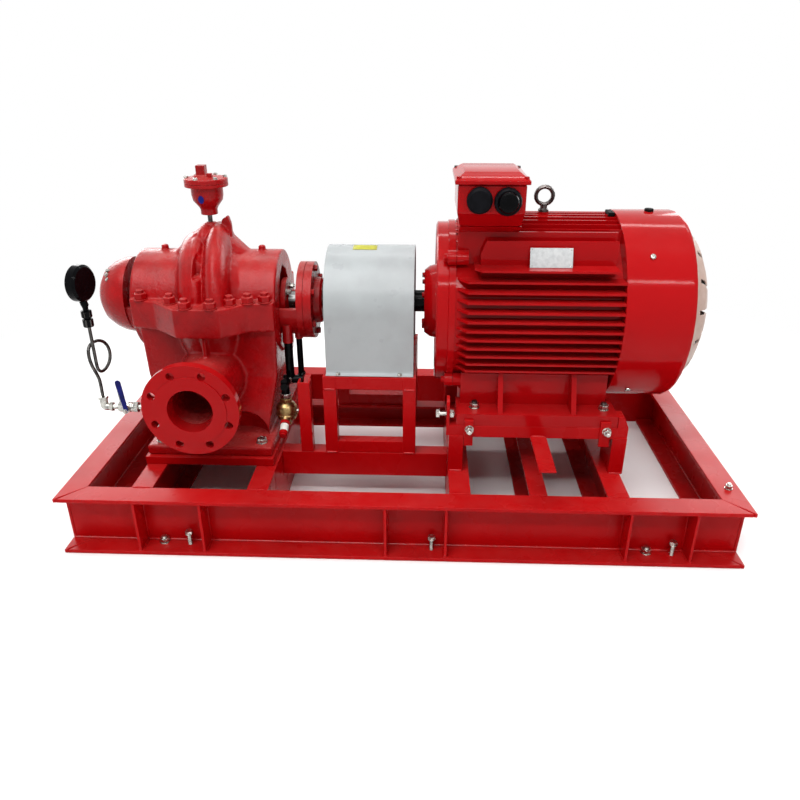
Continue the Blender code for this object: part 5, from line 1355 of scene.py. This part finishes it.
@dataclass
class Motor:
    """The finned motor with its shields, cowl, terminal box and rails."""

    frame_left: float = 0.144
    frame_right: float = 0.5905
    lug_circle: float = 0.253
    hub_face: float = 0.0587
    cowl_radius: float = 0.272
    cowl_end: float = 0.7818
    foot_top: float = 0.361
    foot_holes: tuple[float, float, float] = (0.207, 0.575, 0.2285)
    jack_x: tuple[float, float] = (0.192, 0.578)
    jack_y: float = 0.2840
    jack_height: float = 0.318
    end_bolt: Place = (0.096, 0.2535, 0.352)
    plate_foot: Place = (0.392, -0.2185, 0.7681)
    plate_size: Place = (0.112, 0.0516, 0.0008)
    cowl_screws: tuple[Place, ...] = ((0.660, -0.195, 0.794), (0.648, -0.187, 0.4075))
    cowl_plug_x: float = 0.690
    lid: tuple[float, float, float, float] = (0.130, 0.316, -0.273, -0.052)

    def castings(self) -> None:
        """Dresses the motor's own solids."""
        red = "red_paint"
        rounded_solid("motor_frame", "finned_frame", Look.SMOOTH_RED, red, 0.0012)
        shield = solid_copy("drive_end_shield", "cast_drive_shield")
        nudge(shield, lambda c: c.x < self.frame_left - 0.038
              and 0.21 < math.hypot(c.y, c.z - SHAFT_HEIGHT), (-0.0065, 0, 0))
        dress(shield, "drive_end_shield", Look.SMOOTH_RED, red, 0.0018, 3)
        rounded_solid("fan_end_shield", "cast_fan_shield", Look.SMOOTH_RED, red, 0.0012)
        cowl = soften(solid_copy("fan_cowl", "pressed_fan_cowl"), 0.0014, 2)
        paint(cowl, Look.SMOOTH_RED)
        # The cowl's end takes the pale grille colour, which is partly painted light seen through
        # the mesh.
        repaint(cowl, Look.GRILLE, lambda c, n: c.x > self.cowl_end + 0.001)
        deliver(cowl, red, "fan_cowl")
        rounded_solid("terminal_box", "cast_terminal_box", Look.SMOOTH_RED, red, 0.005, 3)
        lid = solid_copy("terminal_box_lid", "cast_terminal_lid")
        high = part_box("terminal_box_lid")[1].z
        middle = ((self.lid[0] + self.lid[1]) / 2, (self.lid[2] + self.lid[3]) / 2, high)
        nudge(lid, lambda c: c.z > high - 0.002, (0, 0, 0.003), (1.05, 1.38, 1), middle)
        dress(lid, "terminal_box_lid", Look.SMOOTH_RED, red, 0.0022, 3)
        rounded_solid("eye_bolt", "lifting_eye", Look.DARK_STEEL, "bright_steel", 0.001)
        for side in ("front", "back"):
            rounded_solid("motor_rail_" + side, "painted_motor_rail_" + side, Look.STEELWORK,
                          red, 0.0016)

    def entries(self) -> None:
        """Dresses the blank plug and the gland's ribbed dome nut."""
        low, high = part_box("cable_plug")
        plug = solid_copy("cable_plug", "moulded_plug")
        nudge(plug, lambda c: True, (0, 0, -0.0015), (1.04, 1, 1.06), (low + high) / 2)
        dress(plug, "cable_plug", Look.MOULDED_BLACK, "black_paint", 0.0025, 3)
        low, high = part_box("cable_gland")
        depth = high.y - low.y
        ribbed = turned("ring", [(0, 0.0345), (depth * 0.55, 0.0352), (depth * 0.62, 0.0335),
                                 (depth * 0.80, 0.0330), (depth * 0.92, 0.0295)], 14)
        dome = turned("dome", [(depth * 0.80, 0.0270), (depth + 0.004, 0.0262),
                               (depth + 0.010, 0.0225), (depth + 0.013, 0.0150),
                               (depth + 0.013, 0.0050)], 36)
        pieces = [paint(soften(ribbed, 0.0012, 2, 12), Look.MOULDED_BLACK),
                  paint(soften(dome, 0.0008, 2), Look.BLACK)]
        middle = ((low.x + high.x) / 2 - 0.003, high.y, (low.z + high.z) / 2 - 0.004)
        gland = put(joined("moulded_gland", pieces), middle, FRONT)
        deliver(gland, "black_paint", "cable_gland")

    def nameplate(self) -> None:
        """Rivets the bare plate to its sloping pad over the front shelf."""
        x, y, z = self.plate_foot
        pad = block("pad", (x - 0.052, y, z), (x + 0.052, y + 0.026, z + 0.0484))
        nudge(pad, lambda c: c.z > 0.80 and c.y < -0.21, (0, 0.0165, 0))
        soften(pad, 0.001)
        slope = Vector((0.0, 0.0165, 0.0484)).normalized()
        out = Vector((0.0, -slope.z, slope.y))
        face = settle(begin(bpy.ops.mesh.primitive_cube_add, "face", size=1,
                            scale=self.plate_size))
        turn = Matrix(((1, 0, 0), tuple(slope), tuple(out))).transposed().to_4x4()
        middle = Vector(self.plate_foot) + slope * 0.0262 + out * 0.0005
        face.data.transform(Matrix.Translation(middle) @ turn)
        piece = joined("name_plate", [paint(soften(face, 0.0002), Look.PLATE),
                                      paint(pad, Look.SMOOTH_RED)])
        deliver(piece, "bright_steel")
        spots = [(tuple(middle + Vector((x, 0, 0)) + slope * y), tuple(out))
                 for x in (-0.0515, 0.0515) for y in (-0.0215, 0.0215)]
        Fastener(Fixing.ROUND_SCREW, 0.0020, Look.ZINC).fit("name_plate_rivets", spots)

    def cowl_fittings(self) -> None:
        """Screws the cowl on and plugs its top."""
        spots = []
        for x, y, z in self.cowl_screws:
            for side in (1, -1):
                out = Vector((0, side * y, z - SHAFT_HEIGHT)).normalized()
                spot = out * self.cowl_radius + Vector((x, 0, SHAFT_HEIGHT))
                spots.append((tuple(spot), tuple(out)))
        Fastener(Fixing.ROUND_SCREW, 0.0078, Look.ZINC).fit("cowl_screws", spots)
        top = SHAFT_HEIGHT + self.cowl_radius
        plug = turned("cowl_plug", [(-0.002, 0.0125), (0.005, 0.0130), (0.007, 0.0115),
                                    (0.0078, 0.006)], 28)
        put(soften(plug, 0.0006), (self.cowl_plug_x, 0, top))
        strip = plate("strip", (self.frame_right - 0.018, -0.024, top - 0.012),
                      (self.frame_right - 0.0006, 0.024, top - 0.0005), 0.002)
        piece = joined("rubber_plugs", [paint(plug, Look.RUBBER), paint(strip, Look.RUBBER)])
        deliver(piece, "black_paint")

    def bolts(self) -> None:
        """Sets the bolts of the shield, the lid, the feet, the jacks and the rails."""
        d = self.lug_circle * math.sqrt(0.5)
        face = self.frame_left - 0.0243
        lugs = [((face, y * d, SHAFT_HEIGHT + z * d), LEFT) for y in (-1, 1) for z in (-1, 1)]
        Fastener(Fixing.HEX_BOLT, 0.0125, Look.SMOOTH_RED).fit("shield_bolts", lugs, "red_paint")
        hub = round_spots((self.hub_face, 0, SHAFT_HEIGHT), LEFT, 0.080, 6, 30)
        Fastener(Fixing.HEX_BOLT, 0.009, Look.SMOOTH_RED).fit("hub_bolts", hub, "red_paint")
        left, right, front, back = self.lid
        for name, y, look in (("lid_screws_front", front + 0.012, Look.SMOOTH_RED),
                              ("lid_screws_back", back - 0.014, Look.DARK_STEEL)):
            spots = [((x, y, 1.0005), UP) for x in (left + 0.010, right - 0.010)]
            Fastener(Fixing.HEX_BOLT, 0.0075, look).fit(name, spots)
        near, far, across = self.foot_holes
        feet = [((x, side * across, self.foot_top), UP) for x in (near, far)
                for side in (-1, 1)]
        Fastener(Fixing.STUD_NUT, 0.0165, Look.ZINC, Look.DARK_STEEL, 0.35).fit(
            "motor_foot_nuts", feet)
        jacks = [((x, side * self.jack_y, self.jack_height), (0.0, float(side), 0.0))
                 for x in self.jack_x for side in (-1, 1)]
        Fastener(Fixing.STUD_NUT, 0.0135, Look.ZINC, stud_rise=0.8).fit(
            "jack_bolts", jacks)
        ends = []
        x, y, z = self.end_bolt
        for side in (-1, 1):
            shank = turned("shank", [(0, 0.0066), (0.050, 0.0066)], 18)
            ends.append(paint(put(shank, (x, side * y, z), RIGHT), Look.ZINC))
            head = Fastener(Fixing.HEX_BOLT, 0.0150, Look.ZINC).build()
            ends.append(put(head, (x + 0.012, side * y, z), LEFT))
            nut = Fastener(Fixing.BARE_NUT, 0.0150, Look.ZINC, stud_rise=0.1).build()
            ends.append(put(nut, (x + 0.0402, side * y, z), RIGHT))
        deliver(joined("rail_end_bolts", ends), "bright_steel")

    def rail_welds(self) -> None:
        """Lays the beads at the motor rails' feet."""
        beads = []
        low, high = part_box("motor_rail_front")
        for x in (low.x + 0.0085, high.x - 0.0415):
            for side in (-1, 1):
                y = side * 0.2812
                beads.append(bead("bead", (x + 0.002, y, 0.181), (x + 0.040, y, 0.181), 0.0034,
                                  len(beads)))
        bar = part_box("rail_bar")
        beads.append(bead("bead", (bar[0].x + 0.003, bar[1].y - 0.001, bar[1].z),
                          (bar[1].x - 0.003, bar[1].y - 0.001, bar[1].z), 0.0034, 77))
        piece = joined("rail_weld_beads", [paint(item, Look.WELD) for item in beads])
        deliver(piece, "red_paint")

    def build(self) -> None:
        """Builds the motor."""
        self.castings()
        self.entries()
        self.nameplate()
        self.cowl_fittings()
        self.bolts()
        self.rail_welds()


# Studio


@dataclass
class Studio:
    """The pale floor, the soft light and the camera at the picture's angle."""

    camera_place: Place = (0.06380, -2.07394, 1.26637)
    camera_turn: tuple[float, float, float] = (0.447384, 0.0379526, -0.000444616)
    lens: float = 32.025
    floor_radius: float = 30.0
    floor_fade: tuple[float, float] = (1.25, 2.4)
    sky: float = 0.36
    sun_strength: float = 1.55
    sun_angle: float = math.radians(35)
    sun_turn: tuple[float, float, float] = (math.radians(24), math.radians(-14), 0)
    sensor: float = 36.0

    def floor(self) -> None:
        """Lays the floor."""
        piece = begin(bpy.ops.mesh.primitive_circle_add, "studio_floor", vertices=64,
                      radius=self.floor_radius, fill_type="NGON", location=(0, 0, -0.0005))
        settle(piece)
        board = Board("pale_floor")
        share = board.ranged(board.noise(0.8, 3), 0.3, 0.7, 0, 1)
        board.plug("Base Color", board.mixed(share, linear((244, 244, 244)),
                                             linear((241, 241, 241))))
        board.plug("Roughness", 0.8)
        board.plug("Specular IOR Level", 0.05)
        reach = board.add("ShaderNodeVectorMath", {0: board.coordinates}, operation="LENGTH")
        away = board.ranged(reach.outputs["Value"], *self.floor_fade, 0, 1)
        path = board.add("ShaderNodeLightPath")
        seen = board.add("ShaderNodeMath", {0: path.outputs["Is Camera Ray"],
                                            1: path.outputs["Is Glossy Ray"]},
                         operation="ADD", use_clamp=True)
        seen = board.add("ShaderNodeMath", {0: seen.outputs[0],
                                            1: path.outputs["Is Transmission Ray"]},
                         operation="ADD", use_clamp=True)
        white = board.add("ShaderNodeEmission", {"Color": (1, 1, 1, 1), "Strength": 1.0})
        mix = board.add("ShaderNodeMixShader", {0: board.product(away, seen.outputs[0]),
                                                1: board.shader.outputs[0],
                                                2: white.outputs[0]})
        board.links.new(mix.outputs[0], board.nodes["Material Output"].inputs["Surface"])
        piece.data.materials.append(board.material)

    def lamp(self, name: str, place: Place, towards: Place, size: tuple[float, float],
             power: float, mirrored: bool = True) -> None:
        """Hangs one rectangular soft lamp.

        Args:
            name: the lamp's name.
            place: where it hangs.
            towards: the point that it lights.
            size: its width and length.
            power: its watts.
            mirrored: whether glossy surfaces show it.
        """
        data = bpy.data.lights.new(name, "AREA")
        data.shape = "RECTANGLE"
        data.size, data.size_y = size
        data.energy = power
        lamp = bpy.data.objects.new(name, data)
        aimed = (Vector(towards) - Vector(place)).to_track_quat("-Z", "Y")
        lamp.matrix_world = Matrix.Translation(place) @ aimed.to_matrix().to_4x4()
        lamp.visible_camera = False
        lamp.visible_glossy = mirrored
        bpy.context.scene.collection.objects.link(lamp)

    def light(self) -> None:
        """Sets the world, the sun and the lamps."""
        world = bpy.data.worlds.new("studio")
        bpy.context.scene.world = world
        world.use_nodes = True
        nodes, links = world.node_tree.nodes, world.node_tree.links
        soft, seen = nodes["Background"], nodes.new("ShaderNodeBackground")
        for background, strength in ((soft, self.sky), (seen, 1.0)):
            background.inputs["Color"].default_value = (1, 1, 1, 1)
            background.inputs["Strength"].default_value = strength
        path = nodes.new("ShaderNodeLightPath")
        first, second = nodes.new("ShaderNodeMath"), nodes.new("ShaderNodeMath")
        for step in (first, second):
            step.operation = "ADD"
            step.use_clamp = True
        links.new(path.outputs["Is Camera Ray"], first.inputs[0])
        links.new(path.outputs["Is Glossy Ray"], first.inputs[1])
        links.new(first.outputs[0], second.inputs[0])
        links.new(path.outputs["Is Transmission Ray"], second.inputs[1])
        mix = nodes.new("ShaderNodeMixShader")
        links.new(second.outputs[0], mix.inputs[0])
        links.new(soft.outputs[0], mix.inputs[1])
        links.new(seen.outputs[0], mix.inputs[2])
        links.new(mix.outputs[0], nodes["World Output"].inputs["Surface"])
        sun = bpy.data.lights.new("overhead_sun", "SUN")
        sun.energy = self.sun_strength
        sun.angle = self.sun_angle
        hung = bpy.data.objects.new("overhead_sun", sun)
        hung.rotation_euler = self.sun_turn
        bpy.context.scene.collection.objects.link(hung)
        self.lamp("front_strip", (0.2, -2.17, 2.48), (0.1, 0, 0.5), (3.8, 0.10), 34)
        self.lamp("top_strip", (0.0, -0.35, 3.1), (0.0, 0, 0.5), (3.8, 0.34), 42, False)
        self.lamp("back_strip", (0.3, 1.4, 3.0), (0.3, 0, 0.5), (4.4, 0.18), 26)
        for side in (-1, 1):
            self.lamp("back_panel", (side * 2.5, 2.6, 1.7), (side * 0.9, -0.1, 0.2),
                      (1.5, 1.4), 36)

    def camera(self) -> None:
        """Stands the camera where the picture was taken from."""
        pitch, yaw, roll = self.camera_turn
        down = (Matrix.Rotation(pitch, 3, "X") @ Matrix.Rotation(yaw, 3, "Y")
                @ Matrix.Rotation(roll, 3, "Z"))
        base = Matrix(((1, 0, 0), (0, 0, -1), (0, 1, 0)))
        rows = down @ base
        right, below, ahead = rows[0], rows[1], rows[2]
        pose = Matrix((right, -below, -ahead)).transposed().to_4x4()
        pose.translation = self.camera_place
        data = bpy.data.cameras.new("studio_camera")
        data.lens = self.lens
        data.sensor_width = self.sensor
        data.clip_start, data.clip_end = 0.05, 100
        stood = bpy.data.objects.new("studio_camera", data)
        stood.matrix_world = pose
        bpy.context.scene.collection.objects.link(stood)
        bpy.context.scene.camera = stood

    def build(self) -> None:
        """Builds the studio."""
        self.camera()
        self.floor()
        self.light()
        bpy.context.scene.view_settings.view_transform = "Standard"


def main() -> None:
    """Builds every sub-assembly in order and writes how large the set is."""
    logging.basicConfig(level=logging.INFO, format="%(name)s: %(message)s")
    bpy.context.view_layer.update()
    Studio().build()
    for assembly in (Skid(), PumpCasing(), Bearings(), GaugeLine(), ReliefLine(), Drive(),
                     Guard(), Motor()):
        assembly.build()
        LOG.info("built %s", type(assembly).__name__)


if __name__ == "__main__":
    main()
